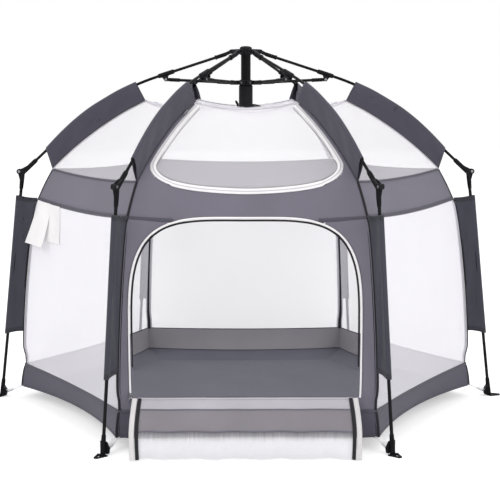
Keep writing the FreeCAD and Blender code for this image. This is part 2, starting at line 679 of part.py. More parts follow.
def foot():
    """Moulded shoe on the leg, with a flat eye for a ground peg outside and a strap eye inside."""
    owner = body("FootBody")
    top, seat = -d["foot_top"], -d["foot_rod_bottom"]
    low = size(4)
    turned(owner, "Shoe", foot_frame, [
        (top, leg_bore), (top, d["foot_radius"] - 1.2), (top / 3, d["foot_radius"]),
        (low, d["foot_radius"]), (low, 0), (seat, 0), (seat, leg_bore)])
    ground = [(d["foot_reach"] - 40, 0), (d["foot_reach"] + 40, 0), (d["foot_reach"] + 40, -30),
              (d["foot_reach"] - 40, -30)]
    pocket(outline(sketch(owner, "Ground"), ground), d["through_cut"])
    x, half, wall = d["foot_reach"], d["tab_half_width"], d["tab_wall"]
    thick = d["tab_thickness"]
    tip = x + d["tab_reach"]
    eye = outline(sketch(owner, "PegEye", role="XY_Plane"),
                  [(x, -half), (tip, half * -0.3), (tip, half * 0.3), (x, half)])
    pad(eye, thick, False)
    hole = sketch(owner, "PegHole", role="XY_Plane")
    inner = d["foot_radius"] + 2
    outline(hole, [(x + inner, -half * 0.45), (tip - wall, -half * 0.2), (tip - wall, half * 0.2),
                   (x + inner, half * 0.45)])
    cut = owner.newObject("PartDesign::Pocket", "PegCut")
    cut.Profile = hole
    cut.Reversed = True
    cut.setExpression("Length", d["through_cut"].text)
    loop = outline(sketch(owner, "StrapEye"), [
        (x - 5, d["strap_end_height"] + 12), (x - 5, 4), (x - 14, 4), (x - 17, d["strap_end_height"] - 8)])
    pad(loop, d["strap_width"] + 2 * d["strap_rim"])
    slot = outline(sketch(owner, "StrapSlot"), [
        (x - 9.5, d["strap_end_height"] - 1), (x - 9.5, 8), (x - 12.5, 8),
        (x - 12.5, d["strap_end_height"] - 6)])
    pocket(slot, d["strap_width"] - 2 * d["strap_rim"])
    bore(owner, foot_frame, top, seat, leg_bore)
    return owner


# ---------------------------------------------------------------- fabric shell

def hexagon(name, reach, height):
    shape = doc.addObject("Part::RegularPolygon", name)
    shape.Polygon = SIDES
    shape.setExpression("Circumradius", reach.text)
    shape.setExpression("Placement.Base.z", height.text)
    return shape


def skin(name, low, high):
    shape = doc.addObject("Part::Loft", name)
    shape.Sections = [hexagon(f"{name}Low", *low), hexagon(f"{name}High", *high)]
    shape.Solid = True
    shape.Ruled = True
    return shape


def cut(name, base, tool):
    shape = doc.addObject("Part::Cut", name)
    shape.Base = base
    shape.Tool = tool
    return shape


def seam_cutter():
    """Three thin upright slabs through opposite corners, which part a ring of cloth into six panels."""
    slabs = []
    for k in range(3):
        slab = doc.addObject("Part::Box", f"Slab{k}")
        slab.setExpression("Length", (2.2 * d["foot_reach"]).text)
        slab.setExpression("Width", d["seam_gap"].text)
        slab.setExpression("Height", d["slab_height"].text)
        slab.setExpression("Placement.Base.x", (-1.1 * d["foot_reach"]).text)
        slab.setExpression("Placement.Base.y", (-d["seam_gap"] / 2).text)
        slabs.append(joined(f"SlabAt{k}", [slab], 60 * k))
    group = doc.addObject("Part::MultiFuse", "SeamCutter")
    group.Shapes = slabs
    return group


def panels(name, low, high):
    """A ring of six flat cloth panels between two heights, parted along the corner seams."""
    inset = d["cloth"] / cosine(size(180 / SIDES))
    gap = d["seam_gap"] / 2
    low = (low[0], low[1] + gap)
    high = (high[0], high[1] - gap)
    outer = skin(f"{name}Outer", low, high)
    inner = skin(f"{name}Inner", (low[0] - inset, low[1]), (high[0] - inset, high[1]))
    ring = cut(f"{name}Ring", outer, inner)
    return cut(f"{name}Parted", ring, seams)


def roof_panels():
    """The shallow roof, which falls from its hem to the middle under the runner."""
    low = (d["roof_hole"], d["roof_low"])
    high = (d["roof_reach"], d["roof_height"])
    lift = d["cloth"]
    solid = skin("RoofOuter", (low[0], low[1] - lift), (high[0], high[1] - lift))
    above = skin("RoofInner", low, high)
    return cut("RoofParted", cut("RoofShell", solid, above), seams)


def front_sector():
    owner = body("FrontSector")
    reach = 2 * d["foot_reach"]
    half = reach * tangent(size(180 / SIDES))
    wedge = outline(sketch(owner, "Sector", role="XY_Plane"), [(0, 0), (-half, -reach), (half, -reach)])
    pad(wedge, d["slab_height"], False)
    return owner


def doorway():
    """Solid that cuts the arched doorway through the front wall."""
    owner = body("DoorwayBody")
    half, low, high, corner = d["door_width"] / 2, d["sill_height"], d["door_top"], d["door_corner"]
    steps = [(corner * (1 - cosine(size(a))), corner * (1 - sine(size(a)))) for a in (0, 22.5, 45, 67.5, 90)]
    left = [(-half + across, high - down) for across, down in steps]
    right = [(half - across, high - down) for across, down in reversed(steps)]
    arch = outline(sketch(owner, "Arch", lift=0), [(-half, low)] + left + right + [(half, low)])
    pad(arch, d["foot_reach"], False)
    return owner


def door_flap():
    owner = body("FlapBody")
    face = (wall_corner(d["sill_height"])) * cosine(size(180 / SIDES)) + d["flap_clearance"]
    thick, top = d["flap_thickness"], d["sill_height"]
    throw = d["flap_throw"]
    drawing = outline(sketch(owner, "Side", role="YZ_Plane"), [
        (-face, top), (-face - throw, 0), (-face - throw - thick, 0), (-face - thick, top)])
    pad(drawing, d["door_width"] - 2 * d["flap_side_gap"])
    rolled_hem = disc(sketch(owner, "RolledHem", role="YZ_Plane"), -face, top, thick / 2)
    pad(rolled_hem, d["door_width"] - 2 * d["flap_side_gap"])
    return owner


def floor_mat():
    shape = doc.addObject("Part::Prism", "FloorPrism")
    shape.Polygon = SIDES
    shape.setExpression("Circumradius", d["floor_reach"].text)
    shape.setExpression("Height", d["mat_thickness"].text)
    return shape


# ---------------------------------------------------------------- fins, gussets and straps

def rib_flap():
    """Cloth fin between the dome's corner seam and the bent rod, just under the rod."""
    owner = body("RibFlapBody")
    gap = d["rod_radius"] + d["gusset_clearance"]
    radius = d["bend_radius"] - gap
    low = 90 - d["rib_slope"]
    top = 90 - d["arm_slope"] - d["flap_top_turn"]
    step = (top - low) / 3
    bend = [(bend_middle[0] + radius * cosine(low + step * k), bend_middle[1] + radius * sine(low + step * k))
            for k in (3, 2, 1, 0)]
    back = d["flap_end_back"]
    end = (d["knee_reach"] - back * cosine(d["rib_slope"]) - gap * sine(d["rib_slope"]),
           d["knee_height"] + back * sine(d["rib_slope"]) - gap * cosine(d["rib_slope"]))
    clear, lift = d["gusset_clearance"], d["seam_lift"]
    seam = [(d["shoulder_reach"] + clear, d["shoulder_height"] + lift),
            (d["roof_reach"] + clear, d["roof_height"] + lift)]
    pad(outline(sketch(owner, "Fin"), bend + [end] + seam), d["gusset_cloth"])
    return owner


def leg_gusset():
    """Cloth web between a corner of the wall and the leg."""
    owner = body("LegGussetBody")
    top, low, clear = d["gusset_top"], d["gusset_bottom"], d["gusset_clearance"]
    inside = d["leg_radius"] + 1.25 * clear
    wall_top = d["wall_height"] - d["seam_lift"]
    corners = [(wall_corner(wall_top) + clear, wall_top), (leg_reach(top) - inside, top),
               (leg_reach(low) - inside, low), (wall_corner(low) + clear, low)]
    pad(outline(sketch(owner, "Web"), corners), d["gusset_cloth"])
    return owner


def foot_strap():
    """Webbing strap from the bottom corner of the shell to the shoe."""
    owner = body("StrapBody")
    start, height = d["hem_reach"] + d["gusset_clearance"], d["hem_height"]
    end, low, thick = d["strap_end_reach"] - 1.5, d["strap_end_height"] - 12, d["strap_thickness"]
    pad(outline(sketch(owner, "Webbing"), [(start, height), (end, low), (end, low - thick),
                                           (start, height - thick)]), d["strap_width"])
    return owner


# ---------------------------------------------------------------- assembly

keep("top_hub", hub())
keep("hub_cap", cap())
keep("center_tube", tube())
hub_pin = pin("HubPin", ORIGIN, d["hub_pin_reach"], d["hub_pin_height"], clevis_span)
keep("hub_pins", all_round("HubPins", [hub_pin]))

keep("runner", runner())
rivets = all_round("EarRivets", ear_rivets())
keep("runner_rivets", joined("RunnerRivets", [rivets, lever_pin()]))
keep("release_lever", release_lever())
keep("roof_hook", roof_hook())

each_round("arm_rod", [arm_rod()])
each_round("arm_fittings", [hub_fitting(), joint_sleeve(), knee_upper()])
each_round("arm_pins", [pin("StrutPin", arm_frame, d["strut_pin_along"], -d["strut_pin_drop"], clevis_span),
                        pin("KneePin", rib_frame, knee_pin_along, knee_pin_height, clevis_span)])
each_round("strut", strut())
each_round("knee_socket", [knee_socket()])
each_round("leg_rod", [leg_rod()])
each_round("foot", [foot()])

seams = seam_cutter()
sector = front_sector()
shoulder = (d["shoulder_reach"], d["shoulder_height"])
dome = panels("Dome", shoulder, (d["roof_reach"], d["roof_height"]))
keep("roof_mesh", joined("Roof", [roof_panels(), dome]))
keep("shoulder_band", panels("Shoulder", (d["wall_reach"], d["wall_height"]), shoulder))
walls = panels("Wall", (d["base_reach"], d["base_height"]), (d["wall_reach"], d["wall_height"]))
keep("mesh_walls", cut("SideWalls", walls, sector))
front = doc.addObject("Part::Common", "FrontWall")
front.Base = walls
front.Tool = sector
keep("front_panel", cut("FrontPanel", front, doorway()))
keep("base_band", joined("BaseBand", [
    panels("Base", (d["hem_reach"], d["hem_height"]), (d["base_reach"], d["base_height"])),
    panels("Skirt", (d["skirt_reach"], d["skirt_height"]), (d["hem_reach"], d["hem_height"]))]))
keep("floor_mat", floor_mat())
keep("door_flap", door_flap())
keep("rib_flaps", all_round("RibFlaps", [rib_flap()]))
keep("leg_gussets", all_round("LegGussets", [leg_gusset()]))
keep("foot_straps", all_round("FootStraps", [foot_strap()]))

doc.recompute()
broken = [item.Name for item in doc.Objects if {"Invalid", "Error"} & set(item.State)]
if broken:
    raise RuntimeError(f"objects that did not build: {broken}")
for node, item in made.items():
    if item.Shape.isNull() or not item.Shape.isValid() or not item.Shape.Solids:
        raise RuntimeError(f"{node} has no valid solid")
os.makedirs("parts", exist_ok=True)
for node, item in made.items():
    item.Shape.exportStep(f"parts/{node}.step")
    print(node, len(item.Shape.Solids), "solids", round(item.Shape.Volume / 1000, 2), "cm3")
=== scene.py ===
import math
import bmesh
import bpy
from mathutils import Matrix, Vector, noise


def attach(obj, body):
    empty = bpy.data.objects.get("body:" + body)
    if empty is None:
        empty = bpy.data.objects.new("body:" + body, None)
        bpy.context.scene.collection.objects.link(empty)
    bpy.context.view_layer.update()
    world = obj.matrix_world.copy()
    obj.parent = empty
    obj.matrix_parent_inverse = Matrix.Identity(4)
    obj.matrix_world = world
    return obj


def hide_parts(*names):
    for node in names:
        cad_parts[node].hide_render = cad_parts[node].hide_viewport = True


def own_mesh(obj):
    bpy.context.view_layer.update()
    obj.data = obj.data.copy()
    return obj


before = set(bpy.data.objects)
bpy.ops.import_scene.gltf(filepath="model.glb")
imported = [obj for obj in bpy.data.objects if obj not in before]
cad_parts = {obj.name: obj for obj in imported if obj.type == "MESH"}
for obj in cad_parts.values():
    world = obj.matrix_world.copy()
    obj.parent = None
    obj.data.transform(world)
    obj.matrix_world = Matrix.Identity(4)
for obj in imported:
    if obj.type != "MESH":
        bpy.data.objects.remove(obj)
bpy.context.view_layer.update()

# The studio: a white sweep with two large soft boxes, one on each side in front, and an even
# white surround, so that the black poles and the grey cloth read clearly against the mesh.
scene = bpy.context.scene
scene.view_settings.view_transform = "Standard"
camera_data = bpy.data.cameras.new("camera")
camera_data.sensor_width = 36
camera_data.lens = 93.42
camera_data.shift_x = 0.0084
camera = bpy.data.objects.new("camera", camera_data)
camera.location = (-0.0308, -3.7529, 0.916)
camera.rotation_euler = (math.radians(82.68), 0, math.radians(-0.47))
scene.collection.objects.link(camera)
scene.camera = camera

for name, place, aim, power, width in (
    ("key_light", (-2.6, -3.2, 3.0), (0, 0, 0.4), 46, 2.2),
    ("fill_light", (3.0, -2.6, 2.2), (0, 0, 0.4), 32, 2.2),
    ("top_light", (0.3, 1.2, 3.4), (0, 0, 0.5), 26, 2.4),
):
    lamp = bpy.data.lights.new(name, "AREA")
    lamp.energy = power
    lamp.size = width
    lamp_object = bpy.data.objects.new(name, lamp)
    lamp_object.location = place
    lamp_object.rotation_euler = (Vector(aim) - Vector(place)).to_track_quat("-Z", "Y").to_euler()
    scene.collection.objects.link(lamp_object)

world = bpy.data.worlds.new("white_surround")
scene.world = world
world.use_nodes = True
sky = world.node_tree
surround = sky.nodes["Background"]
surround.inputs["Color"].default_value = (1, 1, 1, 1)
seen = sky.nodes.new("ShaderNodeLightPath")
level = sky.nodes.new("ShaderNodeMapRange")
level.inputs["To Min"].default_value = 0.86
level.inputs["To Max"].default_value = 1.0
direct = sky.nodes.new("ShaderNodeMath")
direct.operation = "MAXIMUM"
sky.links.new(seen.outputs["Is Camera Ray"], direct.inputs[0])
sky.links.new(seen.outputs["Is Transmission Ray"], direct.inputs[1])
sky.links.new(direct.outputs[0], level.inputs["Value"])
sky.links.new(level.outputs["Result"], surround.inputs["Strength"])

floor_mesh = bmesh.new()
bmesh.ops.create_grid(floor_mesh, x_segments=1, y_segments=1, size=14)
floor_data = bpy.data.meshes.new("studio_floor")
floor_mesh.to_mesh(floor_data)
floor_mesh.free()
studio_floor = bpy.data.objects.new("studio_floor", floor_data)
scene.collection.objects.link(studio_floor)
paper = bpy.data.materials.new("white_paper")
paper.use_nodes = True
shader = paper.node_tree.nodes["Principled BSDF"]
shader.inputs["Base Color"].default_value = (0.82, 0.82, 0.82, 1)
shader.inputs["Roughness"].default_value = 0.9
shader.inputs["Specular IOR Level"].default_value = 0.0
shader.inputs["Emission Color"].default_value = (1, 1, 1, 1)
glow = paper.node_tree.nodes.new("ShaderNodeLightPath")
amount = paper.node_tree.nodes.new("ShaderNodeMath")
amount.operation = "MULTIPLY"
amount.inputs[1].default_value = 0.43
paper.node_tree.links.new(glow.outputs["Is Camera Ray"], amount.inputs[0])
paper.node_tree.links.new(amount.outputs[0], shader.inputs["Emission Strength"])
floor_data.materials.append(paper)


# The moulded nylon parts: the hub with its cap, the ribbed runner, the pole sleeves, the knees
# and the shoes. They are black and satin, with a fine grain and slightly paler rubbed edges.
def tone(red, green, blue):
    """A colour, 0 to 255 a part, as the shader wants it."""
    return tuple(((c / 255 + 0.055) / 1.055) ** 2.4 for c in (red, green, blue)) + (1,)


def add_socket(group, name, kind, way, value=None):
    socket = group.interface.new_socket(name=name, in_out=way, socket_type=kind)
    if value is not None:
        socket.default_value = value
    return socket


def wire(tree, start, end):
    tree.links.new(start, end)


def worked(tree, operation, *terms):
    """One sum in a shader: each term is a plain number, or an output that is wired in."""
    node = tree.nodes.new("ShaderNodeMath")
    node.operation = operation
    for socket, term in zip(node.inputs, terms):
        if isinstance(term, float):
            socket.default_value = term
        else:
            wire(tree, term, socket)
    return node.outputs[0]


def ranged(tree, value, least, most, from_least=0.0, from_most=1.0):
    """A value stretched from one range to another."""
    node = tree.nodes.new("ShaderNodeMapRange")
    node.inputs["From Min"].default_value = from_least
    node.inputs["From Max"].default_value = from_most
    node.inputs["To Min"].default_value = least
    node.inputs["To Max"].default_value = most
    wire(tree, value, node.inputs["Value"])
    return node


def noise_in(tree, place, scale, detail=2):
    node = tree.nodes.new("ShaderNodeTexNoise")
    node.inputs["Scale"].default_value = scale
    node.inputs["Detail"].default_value = detail
    wire(tree, place, node.inputs["Vector"])
    return node


grain = bpy.data.node_groups.new("moulded_grain", "ShaderNodeTree")
add_socket(grain, "Colour", "NodeSocketColor", "INPUT", (0.03, 0.03, 0.03, 1))
add_socket(grain, "Rubbed", "NodeSocketColor", "INPUT", (0.1, 0.1, 0.1, 1))
add_socket(grain, "Roughness", "NodeSocketFloat", "INPUT", 0.45)
add_socket(grain, "Size", "NodeSocketFloat", "INPUT", 900)
add_socket(grain, "Colour", "NodeSocketColor", "OUTPUT")
add_socket(grain, "Roughness", "NodeSocketFloat", "OUTPUT")
add_socket(grain, "Height", "NodeSocketFloat", "OUTPUT")
given = grain.nodes.new("NodeGroupInput")
made = grain.nodes.new("NodeGroupOutput")
place = grain.nodes.new("ShaderNodeTexCoord")
speck = noise_in(grain, place.outputs["Object"], 5, 3)
wire(grain, given.outputs["Size"], speck.inputs["Scale"])
patch = noise_in(grain, place.outputs["Object"], 45)
edge = grain.nodes.new("ShaderNodeNewGeometry")
worn = ranged(grain, edge.outputs["Pointiness"], 0.0, 1.0, 0.52, 0.6)
shade = grain.nodes.new("ShaderNodeMix")
shade.data_type = "RGBA"
wire(grain, worked(grain, "MULTIPLY", worn.outputs["Result"], patch.outputs["Fac"]), shade.inputs[0])
wire(grain, given.outputs["Colour"], shade.inputs[6])
wire(grain, given.outputs["Rubbed"], shade.inputs[7])
wire(grain, shade.outputs[2], made.inputs["Colour"])
dull = worked(grain, "MULTIPLY_ADD", patch.outputs["Fac"], 0.16, given.outputs["Roughness"])
wire(grain, dull, made.inputs["Roughness"])
wire(grain, speck.outputs["Fac"], made.inputs["Height"])


def coated(name, colour, rubbed, roughness, size, depth, metallic=0.0, coat=0.0, specular=0.5):
    material = bpy.data.materials.new(name)
    material.use_nodes = True
    tree = material.node_tree
    surface = tree.nodes["Principled BSDF"]
    finish = tree.nodes.new("ShaderNodeGroup")
    finish.node_tree = grain
    finish.inputs["Colour"].default_value = colour
    finish.inputs["Rubbed"].default_value = rubbed
    finish.inputs["Roughness"].default_value = roughness
    finish.inputs["Size"].default_value = size
    relief = tree.nodes.new("ShaderNodeBump")
    relief.inputs["Distance"].default_value = depth
    relief.inputs["Strength"].default_value = 0.6
    wire(tree, finish.outputs["Colour"], surface.inputs["Base Color"])
    wire(tree, finish.outputs["Roughness"], surface.inputs["Roughness"])
    wire(tree, finish.outputs["Height"], relief.inputs["Height"])
    wire(tree, relief.outputs["Normal"], surface.inputs["Normal"])
    surface.inputs["Metallic"].default_value = metallic
    surface.inputs["Coat Weight"].default_value = coat
    surface.inputs["Coat Roughness"].default_value = 0.12
    surface.inputs["Specular IOR Level"].default_value = specular
    return material


def dress(node, material):
    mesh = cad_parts[node].data
    mesh.materials.clear()
    mesh.materials.append(material)


hub_nylon = coated("hub_nylon", tone(24, 24, 27), tone(52, 52, 56), 0.38, 900, 0.00012, specular=0.13)
joint_nylon = coated("joint_nylon", tone(17, 17, 20), tone(40, 40, 44), 0.42, 900, 0.00012, specular=0.11)
for node in ("top_hub", "hub_cap", "runner", "release_lever"):
    dress(node, hub_nylon)
dress("roof_hook", joint_nylon)
for n in range(1, 7):
    for node in ("arm_fittings", "knee_socket", "foot"):
        dress(f"{node}_{n}", joint_nylon)

# The steel: a gloss black centre tube, satin black rods and struts, and bright zinc rivets
# whose heads show on the sides of the sleeves, the knees and the runner.
gloss_tube = coated("gloss_tube", tone(5, 5, 6), tone(12, 12, 14), 0.1, 300, 0.00004, coat=0.06, specular=0.1)
black_rod = coated("black_rod", tone(10, 10, 12), tone(30, 30, 33), 0.3, 700, 0.00006, specular=0.12)
zinc = coated("zinc_rivet", tone(132, 132, 137), tone(176, 176, 180), 0.34, 1200, 0.00005, metallic=1.0)
dress("center_tube", gloss_tube)
dress("hub_pins", black_rod)
dress("runner_rivets", zinc)
for n in range(1, 7):
    dress(f"arm_rod_{n}", black_rod)
    dress(f"leg_rod_{n}", black_rod)
    dress(f"strut_{n}", black_rod)
    dress(f"arm_pins_{n}", zinc)

# The cloth is plain-weave polyester in three greys. Its threads, the soft ripples of sewn cloth
# and a faint mottling come from one group, which reads each panel's own width and length.
weave = bpy.data.node_groups.new("plain_weave", "ShaderNodeTree")
add_socket(weave, "Colour", "NodeSocketColor", "INPUT", (0.1, 0.1, 0.1, 1))
add_socket(weave, "Threads", "NodeSocketFloat", "INPUT", 4200)
add_socket(weave, "Contrast", "NodeSocketFloat", "INPUT", 0.18)
add_socket(weave, "Colour", "NodeSocketColor", "OUTPUT")
add_socket(weave, "Roughness", "NodeSocketFloat", "OUTPUT")
add_socket(weave, "Height", "NodeSocketFloat", "OUTPUT")
given = weave.nodes.new("NodeGroupInput")
made = weave.nodes.new("NodeGroupOutput")
cloth_uv = weave.nodes.new("ShaderNodeUVMap")
cloth_uv.uv_map = "cloth"
parts = weave.nodes.new("ShaderNodeSeparateXYZ")
wire(weave, cloth_uv.outputs["UV"], parts.inputs[0])
threads = []
for axis in ("X", "Y"):
    along = worked(weave, "MULTIPLY", parts.outputs[axis], given.outputs["Threads"])
    threads.append(worked(weave, "SINE", along))
crossing = worked(weave, "MULTIPLY", *threads)
spot = weave.nodes.new("ShaderNodeTexCoord")
mottle = noise_in(weave, spot.outputs["Object"], 7, 4)
slub = noise_in(weave, spot.outputs["Object"], 420)
depth_of_tone = worked(weave, "MULTIPLY", crossing, given.outputs["Contrast"])
mottled = ranged(weave, mottle.outputs["Fac"], 0.84, 1.16)
lifted = worked(weave, "ADD", mottled.outputs["Result"], depth_of_tone)
slubbed = worked(weave, "MULTIPLY_ADD", slub.outputs["Fac"], 0.12, lifted)
dyed = weave.nodes.new("ShaderNodeVectorMath")
dyed.operation = "SCALE"
wire(weave, given.outputs["Colour"], dyed.inputs[0])
wire(weave, slubbed, dyed.inputs["Scale"])
wire(weave, dyed.outputs[0], made.inputs["Colour"])
nap = ranged(weave, mottle.outputs["Fac"], 0.68, 0.86)
wire(weave, nap.outputs["Result"], made.inputs["Roughness"])
raised = worked(weave, "MULTIPLY_ADD", slub.outputs["Fac"], 0.3, crossing)
wire(weave, raised, made.inputs["Height"])


def woven(name, colour, thread=4200, contrast=0.1, depth=0.00025, sheen=0.18, alpha=1.0):
    material = bpy.data.materials.new(name)
    material.use_nodes = True
    tree = material.node_tree
    surface = tree.nodes["Principled BSDF"]
    cloth = tree.nodes.new("ShaderNodeGroup")
    cloth.node_tree = weave
    cloth.inputs["Colour"].default_value = colour
    cloth.inputs["Threads"].default_value = thread
    cloth.inputs["Contrast"].default_value = contrast
    relief = tree.nodes.new("ShaderNodeBump")
    relief.inputs["Distance"].default_value = depth
    relief.inputs["Strength"].default_value = 0.55
    wire(tree, cloth.outputs["Colour"], surface.inputs["Base Color"])
    wire(tree, cloth.outputs["Roughness"], surface.inputs["Roughness"])
    wire(tree, cloth.outputs["Height"], relief.inputs["Height"])
    wire(tree, relief.outputs["Normal"], surface.inputs["Normal"])
    surface.inputs["Specular IOR Level"].default_value = 0.2
    surface.inputs["Sheen Weight"].default_value = sheen
    surface.inputs["Sheen Roughness"].default_value = 0.4
    surface.inputs["Alpha"].default_value = alpha
    return material


band_cloth = woven("band_cloth", tone(115, 112, 124))
base_cloth = woven("base_cloth", tone(88, 86, 98))
floor_cloth = woven("floor_cloth", tone(98, 98, 109))
flap_cloth = woven("flap_cloth", tone(78, 76, 87))
gusset_cloth = woven("gusset_cloth", tone(67, 67, 77))
hem_cloth = woven("hem_cloth", tone(84, 82, 92))
pale_hem = woven("pale_hem", tone(206, 203, 210), contrast=0.06)
inner_band = woven("inner_band", tone(150, 147, 152))
seam_cloth = woven("seam_cloth", tone(196, 194, 203), contrast=0.06)
web_hem = woven("web_hem", tone(56, 56, 63))
zip_coil = woven("zip_coil", tone(168, 166, 170), thread=2600, contrast=0.25, depth=0.0005)
black_tape = woven("black_tape", tone(38, 37, 41), thread=5200, contrast=0.2)
white_tape = woven("white_tape", tone(244, 242, 243), thread=5200, contrast=0.05)
white_webbing = woven("white_webbing", tone(236, 235, 238), thread=2600, contrast=0.12, depth=0.0004)

# The netting is knitted white polyester with round holes about a millimetre and a half apart.
# The walls are three-fifths thread and the roof less, so dark cloth behind shows as pale grey.
netting = bpy.data.node_groups.new("knitted_net", "ShaderNodeTree")
add_socket(netting, "Cover", "NodeSocketFloat", "INPUT", 0.7)
add_socket(netting, "Colour", "NodeSocketColor", "INPUT", (0.9, 0.9, 0.93, 1))
add_socket(netting, "Colour", "NodeSocketColor", "OUTPUT")
add_socket(netting, "Cover", "NodeSocketFloat", "OUTPUT")
add_socket(netting, "Height", "NodeSocketFloat", "OUTPUT")
given = netting.nodes.new("NodeGroupInput")
made = netting.nodes.new("NodeGroupOutput")
net_uv = netting.nodes.new("ShaderNodeUVMap")
net_uv.uv_map = "cloth"
parts = netting.nodes.new("ShaderNodeSeparateXYZ")
wire(netting, net_uv.outputs["UV"], parts.inputs[0])
rounds = []
for axis, pitch in (("X", 3900.0), ("Y", 3300.0)):
    along = worked(netting, "MULTIPLY", parts.outputs[axis], pitch)
    rounds.append(worked(netting, "COSINE", along))
hole = worked(netting, "MULTIPLY", *rounds)
opened = worked(netting, "MULTIPLY_ADD", hole, 0.14, given.outputs["Cover"])
held = netting.nodes.new("ShaderNodeClamp")
wire(netting, opened, held.inputs["Value"])
wire(netting, held.outputs[0], made.inputs["Cover"])
wire(netting, hole, made.inputs["Height"])
spot = netting.nodes.new("ShaderNodeTexCoord")
cloudy = noise_in(netting, spot.outputs["Object"], 4)
faint = ranged(netting, cloudy.outputs["Fac"], 0.95, 1.05)
dyed = netting.nodes.new("ShaderNodeVectorMath")
dyed.operation = "SCALE"
wire(netting, given.outputs["Colour"], dyed.inputs[0])
wire(netting, faint.outputs["Result"], dyed.inputs["Scale"])
wire(netting, dyed.outputs[0], made.inputs["Colour"])


def netted(name, colour, cover):
    material = bpy.data.materials.new(name)
    material.use_nodes = True
    tree = material.node_tree
    surface = tree.nodes["Principled BSDF"]
    net = tree.nodes.new("ShaderNodeGroup")
    net.node_tree = netting
    net.inputs["Colour"].default_value = colour
    net.inputs["Cover"].default_value = cover
    relief = tree.nodes.new("ShaderNodeBump")
    relief.inputs["Distance"].default_value = 0.0002
    relief.inputs["Strength"].default_value = 0.3
    wire(tree, net.outputs["Colour"], surface.inputs["Base Color"])
    # more light comes through the holes than is seen through them, as thread scatters it on
    light = tree.nodes.new("ShaderNodeLightPath")
    passing = worked(tree, "MAXIMUM", light.outputs["Is Shadow Ray"], light.outputs["Is Diffuse Ray"])
    let_by = ranged(tree, passing, 1.0, 0.22)
    thread = worked(tree, "MULTIPLY", net.outputs["Cover"], let_by.outputs["Result"])
    wire(tree, thread, surface.inputs["Alpha"])
    wire(tree, net.outputs["Height"], relief.inputs["Height"])
    wire(tree, relief.outputs["Normal"], surface.inputs["Normal"])
    surface.inputs["Roughness"].default_value = 0.85
    surface.inputs["Specular IOR Level"].default_value = 0.1
    return material


wall_net = netted("wall_net", tone(251, 249, 255), 0.62)
roof_net = netted("roof_net", tone(252, 250, 255), 0.43)

# The tent body has six sides between its corner seams. Each side is sewn from a roof gore, a
# dome panel, a shoulder band, a wall and a base band, all pulled taut to the six corners.
# reach from the axis at a corner, height, how far mid-side hangs down, and draws inwards
roof_hem = (0.288, 0.866, 0.019, 0.012)
shoulder = (0.558, 0.670, 0.009, 0.004)
wall_top = (0.603, 0.580, 0.012, 0.006)
wall_foot = (0.649, 0.099, 0.002, 0.016)
base_hem = (0.661, 0.032, -0.002, 0.040)
mat_edge = (0.556, 0.004, 0.0, 0.010)
strips_per_side = 8
all_materials = [roof_net, band_cloth, wall_net, base_cloth, floor_cloth, hem_cloth, pale_hem,
                 black_tape, white_tape, white_webbing, inner_band, zip_coil, seam_cloth, zinc]
gores = {(side, strip): bmesh.new() for side in range(6) for strip in range(strips_per_side)}
for gore in gores.values():
    gore.loops.layers.uv.new("cloth")


def side_point(side, across, reach, height, drop, draw):
    """A point on one side: across runs from 0 at one corner to 1 at the next."""
    first, last = math.radians(60 * side), math.radians(60 * side + 60)
    left = Vector((math.cos(first), math.sin(first), 0)) * reach
    right = Vector((math.cos(last), math.sin(last), 0)) * reach
    facing = Vector((math.cos((first + last) / 2), math.sin((first + last) / 2), 0))
    slack = 4 * across * (1 - across)
    return left.lerp(right, across) - facing * draw * slack + Vector((0, 0, height - drop * slack))


def mix_row(low, high, share):
    return [a + (b - a) * share for a, b in zip(low, high)]


def dome_point(side, across, share):
    """The dome bows outwards along its corner seams, where the poles pull it, and in between."""
    row = mix_row(shoulder, roof_hem, share)
    lift = 0.014 * 4 * share * (1 - share)
    near = max(0.0, 1 - 4 * across * (1 - across)) ** 2
    swell = math.sin(math.pi * share)
    return side_point(side, across, row[0] + lift * 0.59 * near, row[1] + lift * 0.81 * near,
                      row[2] + 0.006 * swell, row[3] + 0.012 * swell)


def band_point(side, across, share):
    row = mix_row(wall_top, shoulder, share)
    return side_point(side, across, row[0] + 0.002 * math.sin(math.pi * share), row[1], row[2], row[3])


def wall_point(side, across, share):
    """The leg gussets pull the lower corners of the wall outwards a little."""
    row = mix_row(wall_foot, wall_top, share)
    taut = math.sin(math.pi * min(1, max(0, (wall_top[1] - row[1]) / (wall_top[1] - wall_foot[1]))))
    pull = 0.016 * taut ** 0.45 - 0.007 * math.exp(-((row[1] - 0.118) / 0.02) ** 2)
    corner = abs(across - 0.5) * 2
    near = max(0.0, (corner - 0.62) / 0.38) ** 2
    inward = 0.009 * math.sin(math.pi * share)
    return side_point(side, across, row[0] + pull * near, row[1], row[2], row[3] + inward)


def base_point(side, across, share):
    row = mix_row(base_hem, wall_foot, share)
    return side_point(side, across, row[0] + 0.002 * math.sin(math.pi * share), row[1], row[2], row[3])


def skirt_point(side, across, share):
    row = mix_row(mat_edge, base_hem, share)
    return side_point(side, across, *row)


def inner_point(side, across, share):
    """A paler grey surface just inside the base band, seen over the floor through the doorway."""
    lining_foot = (0.6440, 0.0305, 0.0, 0.038)
    lining_top = (wall_foot[0] - 0.005, wall_foot[1] - 0.002, wall_foot[2], wall_foot[3])
    row = mix_row(lining_foot, lining_top, share)
    return side_point(side, across, row[0] + 0.002 * math.sin(math.pi * share), row[1], row[2], row[3])


